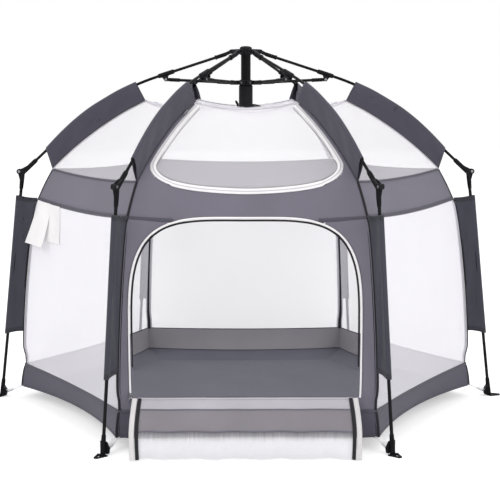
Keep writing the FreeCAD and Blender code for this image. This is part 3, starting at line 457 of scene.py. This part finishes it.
def lay_panel(mesh, material, place, start, end, across_parts, up_parts, size):
    """A rectangle of cloth between two shares of a side, placed by its own curved rule."""
    found = bmesh.ops.create_grid(mesh, x_segments=across_parts, y_segments=up_parts, size=0.5)
    layer = mesh.loops.layers.uv["cloth"]
    flat = {}
    for corner in found["verts"]:
        share = (start + (end - start) * (corner.co.x + 0.5), corner.co.y + 0.5)
        flat[corner] = share
        corner.co = place(*share)
    for face in {face for corner in found["verts"] for face in corner.link_faces}:
        face.material_index = all_materials.index(material)
        face.smooth = True
        for loop in face.loops:
            across, up = flat[loop.vert]
            loop[layer].uv = (across * size[0], up * size[1])
    return found["verts"]


def roof_point(side, across, share):
    """The slack roof: it falls towards the hook under the runner in soft radial folds."""
    row = mix_row((0.020, 0.848, 0, 0), roof_hem, share)
    point = side_point(side, across, *row)
    angle = math.atan2(point.y, point.x)
    fold = 0.006 * math.sin(17 * angle + 1.3) + 0.004 * math.sin(31 * angle)
    ring = math.sin(math.pi * share) ** 1.2
    point.z += (fold * (1 - share) - 0.004) * ring
    point.z += 0.004 * math.sin(11 * share + 3 * angle) * ring * (1 - share)
    slack = 4 * across * (1 - across) * (0.8 + 0.35 * math.sin(2.6 * side + 5 * across))
    trough = math.sin(math.pi * max(0.0, (share - 0.62) / 0.38))
    crease = math.sin(math.pi * max(0.0, (share - 0.84) / 0.16))
    point.z -= (0.019 * trough - 0.006 * crease) * slack
    return point


def floor_point(side, across, share):
    row = mix_row((0.0005, 0.006, 0, 0), mat_edge, share)
    point = side_point(side, across, row[0], 0.006, 0, row[3] * share)
    spread = math.hypot(point.x, point.y)
    wrinkle = 0.0018 * noise.noise(point * 9) * min(1, spread * 6) * (1 - share ** 6)
    point.z = 0.0065 + wrinkle - 0.0025 * share ** 8
    return point


for (side, strip), gore in gores.items():
    start, end = strip / strips_per_side, (strip + 1) / strips_per_side
    lay_panel(gore, roof_net, lambda a, s: roof_point(side, a, s), start, end, 8, 36, (0.29, 0.27))
    if side != 4:
        lay_panel(gore, roof_net, lambda a, s: dome_point(side, a, s), start, end, 8, 30, (0.42, 0.334))
        lay_panel(gore, wall_net, lambda a, s: wall_point(side, a, s), start, end, 10, 48, (0.62, 0.483))
        lay_panel(gore, band_cloth, lambda a, s: band_point(side, a, s), start, end, 8, 10, (0.58, 0.101))
    lay_panel(gore, base_cloth, lambda a, s: base_point(side, a, s), start, end, 8, 8, (0.65, 0.068))
    lay_panel(gore, floor_cloth, lambda a, s: skirt_point(side, a, s), start, end, 8, 4, (0.64, 0.04))
    lay_panel(gore, inner_band, lambda a, s: inner_point(side, a, s), start, end, 8, 10, (0.64, 0.09))
    lay_panel(gore, floor_cloth, lambda a, s: floor_point(side, a, s), start, end, 8, 60, (0.6, 0.55))

# The front has the arched doorway and, above it, a window that runs up the whole dome panel.
# Grey cloth is left round both as a frame, and the netting of the window is set inside it.
door_half, door_spring, door_rise, door_power, sill = 0.2865, 0.290, 0.301, 3.8, 0.131
door_middle = -0.005
window_edge = [(-0.137, 0.864), (-0.184, 0.801), (-0.237, 0.722), (-0.245, 0.702), (-0.238, 0.686),
               (-0.217, 0.672), (-0.182, 0.661), (-0.135, 0.654), (-0.070, 0.6495), (0.0, 0.6475),
               (0.070, 0.6495), (0.135, 0.654), (0.182, 0.661), (0.215, 0.672), (0.236, 0.686),
               (0.243, 0.702), (0.236, 0.722), (0.184, 0.801), (0.137, 0.864)]
front = 4


def door_edge(turn):
    """The doorway's outline, from the sill on one side over the arch to the other: 0 to 1."""
    straight = 0.28
    if turn < straight:
        return (door_middle - door_half, sill + (door_spring - sill) * turn / straight)
    if turn > 1 - straight:
        return (door_middle + door_half, sill + (door_spring - sill) * (1 - turn) / straight)
    angle = math.pi * (1 - (turn - straight) / (1 - 2 * straight))
    cosine, sine = math.cos(angle), math.sin(angle)
    return (door_middle + door_half * math.copysign(abs(cosine) ** (2 / door_power), cosine),
            door_spring + door_rise * abs(sine) ** (2 / door_power))


def past_door(x, z):
    """How far out of the doorway a point is: 1 on its outline, less inside."""
    side_reach = abs(x - door_middle) / door_half
    if z < door_spring:
        return side_reach
    return (side_reach ** door_power + ((z - door_spring) / door_rise) ** door_power) ** (1 / door_power)


def inside_outline(outline, x, z):
    odd = False
    for (x1, z1), (x2, z2) in zip(outline, outline[1:] + outline[:1]):
        if (z1 > z) != (z2 > z) and x < (x2 - x1) * (z - z1) / (z2 - z1) + x1:
            odd = not odd
    return odd


def smooth_line(points, count):
    """Evenly many points on the smooth curve through the given ones."""
    line = []
    for i in range(count):
        spot = i * (len(points) - 1) / (count - 1)
        k = min(int(spot), len(points) - 2)
        t = spot - k
        a, b, c, e = (Vector(points[max(0, min(len(points) - 1, k + j))]) for j in (-1, 0, 1, 2))
        line.append(0.5 * ((2 * b) + (c - a) * t + (2 * a - 5 * b + 4 * c - e) * t * t
                           + (3 * b - a - 3 * c + e) * t ** 3))
    return line


window_line = [tuple(p) for p in smooth_line(window_edge, 150)]


def front_rule(height):
    """Which panel a height belongs to, with its share of that panel."""
    if height >= shoulder[1]:
        return dome_point, (height - shoulder[1]) / (roof_hem[1] - shoulder[1]), shoulder, roof_hem
    if height >= wall_top[1]:
        return band_point, (height - wall_top[1]) / (shoulder[1] - wall_top[1]), wall_top, shoulder
    if height >= wall_foot[1]:
        return wall_point, (height - wall_foot[1]) / (wall_top[1] - wall_foot[1]), wall_foot, wall_top
    return base_point, (height - base_hem[1]) / (wall_foot[1] - base_hem[1]), base_hem, wall_foot


def front_share(x, height):
    _, share, low, high = front_rule(height)
    half = (low[0] + (high[0] - low[0]) * share) / 2
    return 0.5 + x / (2 * half)


def front_point(x, height, proud=0.0):
    rule, share, _, _ = front_rule(height)
    across = min(1, max(0, front_share(x, height)))
    point = rule(front, across, share)
    step = rule(front, across, min(1, share + 0.01)) - rule(front, across, max(0, share - 0.01))
    outward = Vector((1, 0, 0)).cross(step).normalized()
    return point + outward * proud, outward


front_cloth, rim_places = [], set()
for strip in range(strips_per_side):
    gore = gores[(front, strip)]
    start, end = strip / strips_per_side, (strip + 1) / strips_per_side
    dome = lay_panel(gore, band_cloth, lambda a, s: dome_point(front, a, s), start, end,
                     12, 50, (0.42, 0.334))
    band = lay_panel(gore, band_cloth, lambda a, s: band_point(front, a, s), start, end,
                     12, 18, (0.58, 0.101))
    for face in {face for corner in dome + band for face in corner.link_faces}:
        middle = face.calc_center_median()
        if inside_outline(window_line, middle.x, middle.z):
            face.material_index = all_materials.index(roof_net)
    wall = lay_panel(gore, band_cloth, lambda a, s: wall_point(front, a, s), start, end,
                     14, 72, (0.62, 0.483))
    gone = []
    for face in {face for corner in wall + band for face in corner.link_faces}:
        middle = face.calc_center_median()
        if middle.z > sill and past_door(middle.x, middle.z) < 1:
            gone.append(face)
            rim_places.update(tuple(round(part, 4) for part in corner.co) for corner in face.verts)
    bmesh.ops.delete(gore, geom=gone, context="FACES")
    front_cloth += [corner for corner in wall + band if corner.is_valid]

# The cut edge is pulled onto the doorway's true line.
for corner in front_cloth:
    if tuple(round(part, 4) for part in corner.co) not in rim_places or corner.co.z < sill + 0.004:
        continue
    if corner.co.z < door_spring:
        corner.co.x = door_middle + math.copysign(door_half, corner.co.x)
    else:
        reach = past_door(corner.co.x, corner.co.z)
        corner.co = front_point(door_middle + (corner.co.x - door_middle) / reach,
                                door_spring + (corner.co.z - door_spring) / reach)[0]

# The trims: bindings on every corner seam, folded hems along the bands, the wide white tape
# and zip round the window, and the white and black piping round the doorway.


def run_tape(mesh, points, outward, width, thick, material, around=8):
    """A flat tape along a line of points, rounded at its edges, with its face along outward."""
    found = bmesh.ops.create_grid(mesh, x_segments=len(points) - 1, y_segments=around, size=0.5)
    layer = mesh.loops.layers.uv["cloth"]
    lengths = [0.0]
    for a, b in zip(points, points[1:]):
        lengths.append(lengths[-1] + (b - a).length)
    flat = {}
    for corner in found["verts"]:
        k = round((corner.co.x + 0.5) * (len(points) - 1))
        turn = corner.co.y + 0.5
        ahead = (points[min(k + 1, len(points) - 1)] - points[max(k - 1, 0)]).normalized()
        up = outward[k].normalized()
        beside = ahead.cross(up).normalized()
        up = beside.cross(ahead)
        angle = 2 * math.pi * turn
        cosine, sine = math.cos(angle), math.sin(angle)
        flat[corner] = (lengths[k], turn * width * 2)
        flat_way = beside * width / 2 * math.copysign(abs(cosine) ** 0.5, cosine)
        corner.co = points[k] + flat_way + up * thick / 2 * math.copysign(abs(sine) ** 0.6, sine)
    for face in {face for corner in found["verts"] for face in corner.link_faces}:
        face.material_index = all_materials.index(material)
        face.smooth = True
        for loop in face.loops:
            loop[layer].uv = flat[loop.vert]
    bmesh.ops.remove_doubles(mesh, verts=found["verts"], dist=0.00005)


def outward_at(side, across):
    angle = math.radians(60 * side + 60 * across)
    return Vector((math.cos(angle), math.sin(angle), 0))


for side in range(6):
    seam = gores[(side, 0)]
    corner_out = outward_at(side, 0)
    dome_seam = [dome_point(side, 0, i / 24) for i in range(25)]
    band_seam = [band_point(side, 0, i / 8) for i in range(9)]
    wall_seam = [wall_point(side, 0, i / 40) for i in range(41)]
    foot_seam = [base_point(side, 0, i / 6) for i in range(7)]
    up_out = (corner_out + Vector((0, 0, 1.3))).normalized()
    dome_binding = hem_cloth if side in (4, 5) else pale_hem
    run_tape(seam, dome_seam, [up_out] * len(dome_seam), 0.009, 0.003, dome_binding)
    long_seam = foot_seam[:-1] + wall_seam[:-1] + band_seam
    run_tape(seam, long_seam, [corner_out] * len(long_seam), 0.0075, 0.0032, black_tape)
    for strip, across in ((0, 0.011), (strips_per_side - 1, 0.989)):
        if side != front:
            allowance = [wall_point(side, across, i / 40) for i in range(41)]
            facing = [outward_at(side, 0.5)] * len(allowance)
            run_tape(gores[(side, strip)], allowance, facing, 0.0095, 0.0014, seam_cloth)
    inner_wall = [p - corner_out * 0.0045 for p in foot_seam[:-1] + wall_seam]
    run_tape(seam, inner_wall, [corner_out] * len(inner_wall), 0.011, 0.0016, black_tape)

for (side, strip), gore in gores.items():
    start, end = strip / strips_per_side, (strip + 1) / strips_per_side
    shares = [start + (end - start) * i / 8 for i in range(9)]
    facing = outward_at(side, 0.5)
    slope = (facing + Vector((0, 0, 1.1))).normalized()
    hem = [roof_point(side, a, 1) + Vector((0, 0, 0.0006)) for a in shares]
    run_tape(gore, hem, [slope] * 9, 0.007, 0.0018, pale_hem)
    fold_line = [roof_point(side, a, 0.9) for a in shares]
    run_tape(gore, fold_line, [slope] * 9, 0.0032, 0.0018, seam_cloth)
    if side != front:
        hem = [dome_point(side, a, 0) for a in shares]
        run_tape(gore, hem, [slope] * 9, 0.007, 0.002, hem_cloth)
    hem = [band_point(side, a, 0.055) for a in shares]
    if side == front:
        hem = [band_point(side, start + (end - start) * i / 60, 0.02) for i in range(61)]
        hem = [p for p in hem if past_door(p.x, p.z) > 0.995]
    if len(hem) > 1:
        run_tape(gore, hem, [facing] * len(hem), 0.011, 0.0024, hem_cloth)
    hem = [base_point(side, a, 0.93) for a in shares]
    run_tape(gore, hem, [facing] * 9, 0.010, 0.0024, hem_cloth)
    hem = [base_point(side, a, 0.02) for a in shares]
    run_tape(gore, hem, [facing] * 9, 0.007, 0.003, hem_cloth)


def strip_of(x, height):
    return min(strips_per_side - 1, max(0, int(front_share(x, height) * strips_per_side)))


def tape_on_front(line, width, thick, material, proud):
    """Lays a tape on the front along a line of places, cut where it passes from gore to gore."""
    def lay(run, strip):
        laid = [front_point(x, z, proud) for x, z in run]
        gore = gores[(front, strip)]
        run_tape(gore, [p for p, _ in laid], [n for _, n in laid], width, thick, material)

    run = []
    held_strip = None
    for place_on_front in line:
        strip = strip_of(*place_on_front)
        run.append(place_on_front)
        if held_strip is not None and strip != held_strip:
            lay(run, held_strip)
            run = [place_on_front]
        held_strip = strip
    if len(run) > 1:
        lay(run, held_strip)


def moved_in(line, distance):
    """The same line moved sideways in the panel, towards its right-hand side."""
    result = []
    for i, spot in enumerate(line):
        before, after = line[max(0, i - 1)], line[min(len(line) - 1, i + 1)]
        ahead = Vector((after[0] - before[0], after[1] - before[1])).normalized()
        result.append((spot[0] + ahead.y * -distance, spot[1] + ahead.x * distance))
    return result


tape_on_front(moved_in(window_line, 0.007), 0.0155, 0.0022, white_tape, 0.0016)
tape_on_front(moved_in(window_line, 0.007), 0.0026, 0.0022, pale_hem, 0.0030)
tape_on_front(moved_in(window_line, 0.0155), 0.0022, 0.0018, zip_coil, 0.0008)
door_line = [door_edge(i / 160) for i in range(161)]
tape_on_front(moved_in(door_line, 0.001), 0.0048, 0.0036, white_tape, 0.0025)
tape_on_front(moved_in(door_line[22:139], -0.0046), 0.0052, 0.0024, black_tape, -0.0006)


# Each zip has a metal slider with a flat pull: one at the top of the window's left side and one
# at the foot of the doorway's left side, where the door was opened.
for (x, height), ahead, pull in (
    ((-0.158, 0.836), (0.5, 0.86), (-0.35, -0.94)),
    ((-0.2925, 0.140), (0.0, 1.0), (-0.25, -0.97)),
):
    mesh = gores[(front, strip_of(x, height))]
    middle, outward = front_point(x, height, 0.0052)
    for centre, aim, width, length, thick in (
        ((0, 0), ahead, 0.0075, 0.0105, 0.0042),
        ((0.011 * pull[0], 0.011 * pull[1]), pull, 0.0052, 0.0170, 0.0014),
    ):
        up = Vector((0, 0, 1)) - outward * outward.z
        up.normalize()
        side_way = up.cross(outward)
        long_way = (side_way * aim[0] + up * aim[1]).normalized()
        cross_way = long_way.cross(outward)
        laid = middle + side_way * centre[0] + up * centre[1] + outward * (0.0022 if aim is pull else 0)
        block = bmesh.new()
        block.loops.layers.uv.new("cloth")
        bmesh.ops.create_cube(block, size=1)
        bmesh.ops.bevel(block, geom=block.edges[:], offset=0.2, segments=3, affect="EDGES",
                        clamp_overlap=True)
        for corner in block.verts:
            x_part, y_part, z_part = corner.co
            corner.co = laid + cross_way * x_part * width + long_way * y_part * length
            corner.co += outward * z_part * thick
        for face in block.faces:
            face.material_index = all_materials.index(zinc)
            face.smooth = True
        bmesh.ops.recalc_face_normals(block, faces=block.faces[:])
        cast = bpy.data.meshes.new("slider")
        block.to_mesh(cast)
        block.free()
        mesh.from_mesh(cast)
        bpy.data.meshes.remove(cast)

# Two blank white care tags are sewn in under the band at the left corner and hang on the wall.
# The outer one curls away from it.
for strip, first, last, drop, swing in (
    (0, 0.012, 0.160, 0.122, 0.036),
    (1, 0.142, 0.262, 0.106, 0.008),
):
    def tag_point(across, share):
        top = band_point(3, first + (last - first) * across, 0.03)
        hang = 1 - share
        curl = swing * hang ** 1.4 + 0.0012 * math.sin(5 * across + 3 * hang)
        flare = Vector((0.012 * hang * (across - 0.5), 0, 0))
        return top + outward_at(3, 0.5) * (0.004 + curl) - Vector((0, 0, drop * hang)) + flare
    lay_panel(gores[(3, strip)], white_tape, tag_point, 0, 1, 12, 20, (0.09, 0.1))


# The shell is finished as forty-eight narrow gores, each attached to the hub.
def sewn(name, mesh, materials):
    """The finished piece of cloth, with the area of its faces."""
    mesh.normal_update()
    area = sum(face.calc_area() for face in mesh.faces)
    data = bpy.data.meshes.new(name)
    mesh.to_mesh(data)
    mesh.free()
    for material in materials:
        data.materials.append(material)
    cloth = bpy.data.objects.new(name, data)
    scene.collection.objects.link(cloth)
    return cloth, area


for (side, strip), gore in gores.items():
    piece, area = sewn(f"shell_gore_{side + 1}_{strip + 1}", gore, all_materials)
    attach(piece, "hub")
    middle = side_point(side, (strip + 0.5) / strips_per_side, 1, 0, 0, 0).normalized()
    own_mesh(piece)
    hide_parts("mesh_walls", "shoulder_band", "roof_mesh", "base_band", "floor_mat", "front_panel")

# Cloth fins fill the gap between each bent pole and the dome's corner seam. Each is one piece
# folded over the pole as a sleeve, so it has two layers that part a little at the seam.
rod_line = [(0.3135, 0.9155), (0.362, 0.893), (0.410, 0.8655), (0.450, 0.8405), (0.492, 0.808),
            (0.534, 0.7695), (0.575, 0.7265)]
rod = smooth_line([Vector(p) for p in rod_line], 41)
cloth_gauge = 0.0006
for n in range(1, 7):
    side = n - 1
    out = outward_at(side, 0)
    beside = Vector((-out.y, out.x, 0))
    seam = [dome_point(side, 0, 1 - i / 40) for i in range(41)]
    mesh = bmesh.new()
    layer = mesh.loops.layers.uv.new("cloth")
    found = bmesh.ops.create_grid(mesh, x_segments=40, y_segments=40, size=0.5)
    flat = {}
    for corner in found["verts"]:
        k = round((corner.co.x + 0.5) * 40)
        turn = corner.co.y + 0.5
        top = rod[k]
        foot = Vector((seam[k].dot(out), seam[k].z))
        down = foot - top
        depth = down.length
        down = down / depth
        sleeve = 0.0058
        if turn < 0.4 or turn > 0.6:
            layer_side = -1 if turn < 0.4 else 1
            share = turn / 0.4 if turn < 0.4 else (1 - turn) / 0.4
            from_rod = depth * (1 - share) - 0.002 * (1 - share)
            near_rod = sleeve * min(1, max(0.25, 1 - from_rod / 0.05))
            belly = 0.004 * math.sin(math.pi * share) * (0.4 + 0.6 * (k / 40 - 0.5) ** 2)
            mouth = 0.009 * (1 - share) * max(0, 1 - k / 9)
            spread = near_rod + belly + mouth
            ripple = 0.0012 * math.sin(0.55 * k + 3 * share + 2 * side) * math.sin(math.pi * share)
            at = top + down * from_rod
            point = out * at.x + Vector((0, 0, at.y)) + beside * (layer_side * spread + ripple)
        else:
            angle = math.pi * (turn - 0.4) / 0.2
            at = top - down * sleeve * math.sin(angle)
            point = out * at.x + Vector((0, 0, at.y)) - beside * sleeve * math.cos(angle)
        flat[corner] = (k * 0.009, turn * 0.17)
        corner.co = point
    for face in mesh.faces:
        face.smooth = True
        for loop in face.loops:
            loop[layer].uv = flat[loop.vert]
    bmesh.ops.solidify(mesh, geom=mesh.faces[:], thickness=cloth_gauge)
    fin, both_faces = sewn(f"pole_fin_{n}", mesh, [flap_cloth])
    area = both_faces / 2
    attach(fin, f"arm_{n}")
    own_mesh(fin)
    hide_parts("rib_flaps")

# A cloth web joins each corner of the wall to its leg, sewn to the corner seam and folded
# round the leg as a sleeve that slides over it from below. It pulls the wall outwards.
leg_top, leg_foot = (0.65894, 0.594), (0.7010, 0.189)
web_top, web_foot, web_length, hem_width = wall_top[1] + 0.007, 0.196, 0.405, 0.010
for n in range(1, 7):
    side = n - 1
    out = outward_at(side, 0)
    beside = Vector((-out.y, out.x, 0))
    mesh = bmesh.new()
    layer = mesh.loops.layers.uv.new("cloth")
    found = bmesh.ops.create_grid(mesh, x_segments=60, y_segments=28, size=0.5)
    flat = {}
    for corner in found["verts"]:
        k = corner.co.x + 0.5
        turn = corner.co.y + 0.5
        leg = Vector(leg_top).lerp(Vector(leg_foot), k)
        wall_height = web_top + (web_foot - web_top) * k
        wall = wall_point(side, 0, (wall_height - wall_foot[1]) / (wall_top[1] - wall_foot[1]))
        foot = Vector((wall.dot(out) + 0.0015, wall_height))
        reach = leg - foot
        sleeve = 0.0066
        if turn < 0.36 or turn > 0.64:
            layer_side = -1 if turn < 0.36 else 1
            share = turn / 0.36 if turn < 0.36 else (1 - turn) / 0.36
            at = foot + reach * share
            dip = 0.002 * math.sin(math.pi * share) * max(0, 1 - k * 9)
            rise = 0.002 * math.sin(math.pi * share) * max(0, 1 - (1 - k) * 9)
            spread = 0.0012 + (sleeve - 0.0012) * share ** 3 + (0.0008 if k < 0.03 or k > 0.97 else 0)
            ripple = 0.0016 * math.sin(9 * k + 4 * share + side) * math.sin(math.pi * share)
            point = out * at.x + Vector((0, 0, at.y - dip + rise)) + beside * (layer_side * spread + ripple)
        else:
            angle = math.pi * (turn - 0.36) / 0.28
            point = out * (leg.x + sleeve * math.sin(angle)) + Vector((0, 0, leg.y))
            point -= beside * sleeve * math.cos(angle)
        flat[corner] = (k * web_length, turn * 0.15)
        corner.co = point
    for face in mesh.faces:
        face.smooth = True
        along = [flat[loop.vert][0] for loop in face.loops]
        face.material_index = int(min(along) < hem_width or max(along) > web_length - hem_width)
        for loop in face.loops:
            loop[layer].uv = flat[loop.vert]
    bmesh.ops.solidify(mesh, geom=mesh.faces[:], thickness=cloth_gauge)
    web, both_faces = sewn(f"leg_web_{n}", mesh, [gusset_cloth, web_hem])
    area = both_faces / 2
    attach(web, f"leg_{n}")
    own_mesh(web)
    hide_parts("leg_gussets")

# A white webbing strap runs from each bottom corner of the shell to the eye on the inside of
# the shoe, and is folded back on itself there.
strap_line = [(0.655, 0.033), (0.672, 0.0275), (0.690, 0.0175), (0.7030, 0.0135), (0.7085, 0.0150),
              (0.7075, 0.0185), (0.699, 0.0195), (0.686, 0.0235)]
for n in range(1, 7):
    out = outward_at(n - 1, 0)
    mesh = bmesh.new()
    mesh.loops.layers.uv.new("cloth")
    line = smooth_line([Vector(p) for p in strap_line], 36)
    points = [out * p.x + Vector((0, 0, p.y)) for p in line]
    across = Vector((-out.y, out.x, 0))
    normals = []
    for i in range(len(points)):
        ahead = points[min(i + 1, len(points) - 1)] - points[max(i - 1, 0)]
        normals.append(across.cross(ahead).normalized())
    run_tape(mesh, points, normals, 0.018, 0.0014, white_webbing)
    strap, _ = sewn(f"corner_strap_{n}", mesh, all_materials)
    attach(strap, f"leg_{n}")
    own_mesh(strap)
    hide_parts("foot_straps")

# The door is unzipped and hangs outside from the sill: a pale hem, then a band of cloth with
# netting over it, then plain netting that rests on the ground, with the zip tapes at its sides.
flap_top, flap_low = Vector((0.0, -0.5685, 0.131)), Vector((0.0, -0.6765, 0.004))
flap_half, flap_middle = 0.270, -0.006
band_from, net_from = 0.175, 0.545
mesh = bmesh.new()
mesh.loops.layers.uv.new("cloth")


def flap_point(across, share, back=0.0):
    """share is 0 at the sill and 1 on the ground; back sets a layer behind the first."""
    x = flap_middle + (across - 0.5) * 2 * (flap_half + 0.004 * math.sin(math.pi * share))
    base = flap_top.lerp(flap_low, share)
    bulge = 0.010 * math.sin(math.pi * share) ** 1.2
    pleats = 0.0022 * math.sin(52 * across + 2.2 * share) + 0.0011 * math.sin(131 * across + 3 * share)
    ripple = pleats * share ** 1.3 + 0.0018 * noise.noise(Vector((across * 9, share * 3, 1.7)))
    height = base.z + 0.4 * bulge + 0.0015 * math.sin(31 * across) * share
    return Vector((x, base.y - bulge - ripple + back, height))


door_net = netted("door_net", tone(238, 237, 242), 0.6)
screened = woven("screened_cloth", tone(133, 129, 135), thread=2100, contrast=0.22, depth=0.0005)
pale_tape = woven("pale_tape", tone(214, 211, 212), thread=5200, contrast=0.1)
# painted shade: the netting is coloured grey near its seam, in streaks along the pleats, for the shade in the
# gathered netting and of the grey cloth tucked behind it
tree = door_net.node_tree
net_place = tree.nodes.new("ShaderNodeUVMap")
net_place.uv_map = "cloth"
stretched = tree.nodes.new("ShaderNodeVectorMath")
stretched.operation = "MULTIPLY"
stretched.inputs[1].default_value = (420, 14, 1)
wire(tree, net_place.outputs["UV"], stretched.inputs[0])
painted_shade_streak = noise_in(tree, stretched.outputs[0], 1, 3)
net_parts = tree.nodes.new("ShaderNodeSeparateXYZ")
wire(tree, net_place.outputs["UV"], net_parts.inputs[0])
painted_shade_reach = worked(tree, "MULTIPLY_ADD", painted_shade_streak.outputs["Fac"], 0.022, net_parts.outputs["Y"])
painted_shade_fade = ranged(tree, painted_shade_reach, 0.0, 1.0, 0.004, 0.046)
painted_shade_fade.interpolation_type = "SMOOTHSTEP"
# painted shade: grey mixed into the netting's own colour near its seam
painted_shade_mix = tree.nodes.new("ShaderNodeMix")
painted_shade_mix.data_type = "RGBA"
painted_shade_mix.inputs[6].default_value = tone(120, 117, 123)
wire(tree, painted_shade_fade.outputs["Result"], painted_shade_mix.inputs[0])
net_shader = tree.nodes["Principled BSDF"]
wire(tree, net_shader.inputs["Base Color"].links[0].from_socket, painted_shade_mix.inputs[7])
wire(tree, painted_shade_mix.outputs[2], net_shader.inputs["Base Color"])
door_hem = woven("door_hem", tone(180, 177, 184), contrast=0.08)
all_materials += [door_net, screened, door_hem, pale_tape]
for first, last, back, spread_back, material, columns, rows, length in (
    (0.0, band_from, 0.0, 0.0, door_hem, 90, 6, 0.03),
    (band_from, net_from, 0.0, 0.0, screened, 90, 12, 0.063),
    (net_from, 1.0, 0.0, 0.0, door_net, 90, 16, 0.08),
    (1.0, 0.70, 0.008, 0.002, door_net, 60, 14, 0.05),
):
    lay_panel(mesh, material, lambda a, s: flap_point(a, first + s * (last - first), back + spread_back * s),
              0, 1, columns, rows, (0.56, length))
for share, width, material in (
    (0.004, 0.006, door_hem),
    (0.19, 0.0035, band_cloth),
    (0.55, 0.0035, band_cloth),
):
    points = [flap_point(i / 60, share) + Vector((0, -0.0008, 0.0004)) for i in range(61)]
    run_tape(mesh, points, [Vector((0, -1, 0.85))] * 61, width, 0.0016, material)
for hand in (-1, 1):
    for offset, width, material in ((0.007, 0.013, pale_tape), (-0.0055, 0.009, black_tape)):
        points = []
        for i in range(31):
            share = i / 30
            spot = flap_point(0.5 + hand * 0.5, share)
            points.append(spot + Vector((hand * offset, -0.0022, 0.001)))
        run_tape(mesh, points, [Vector((0, -1, 0.85))] * 31, width, 0.0022, material)
door, area = sewn("door_panel", mesh, all_materials)
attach(door, "door")
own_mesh(door)
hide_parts("door_flap")
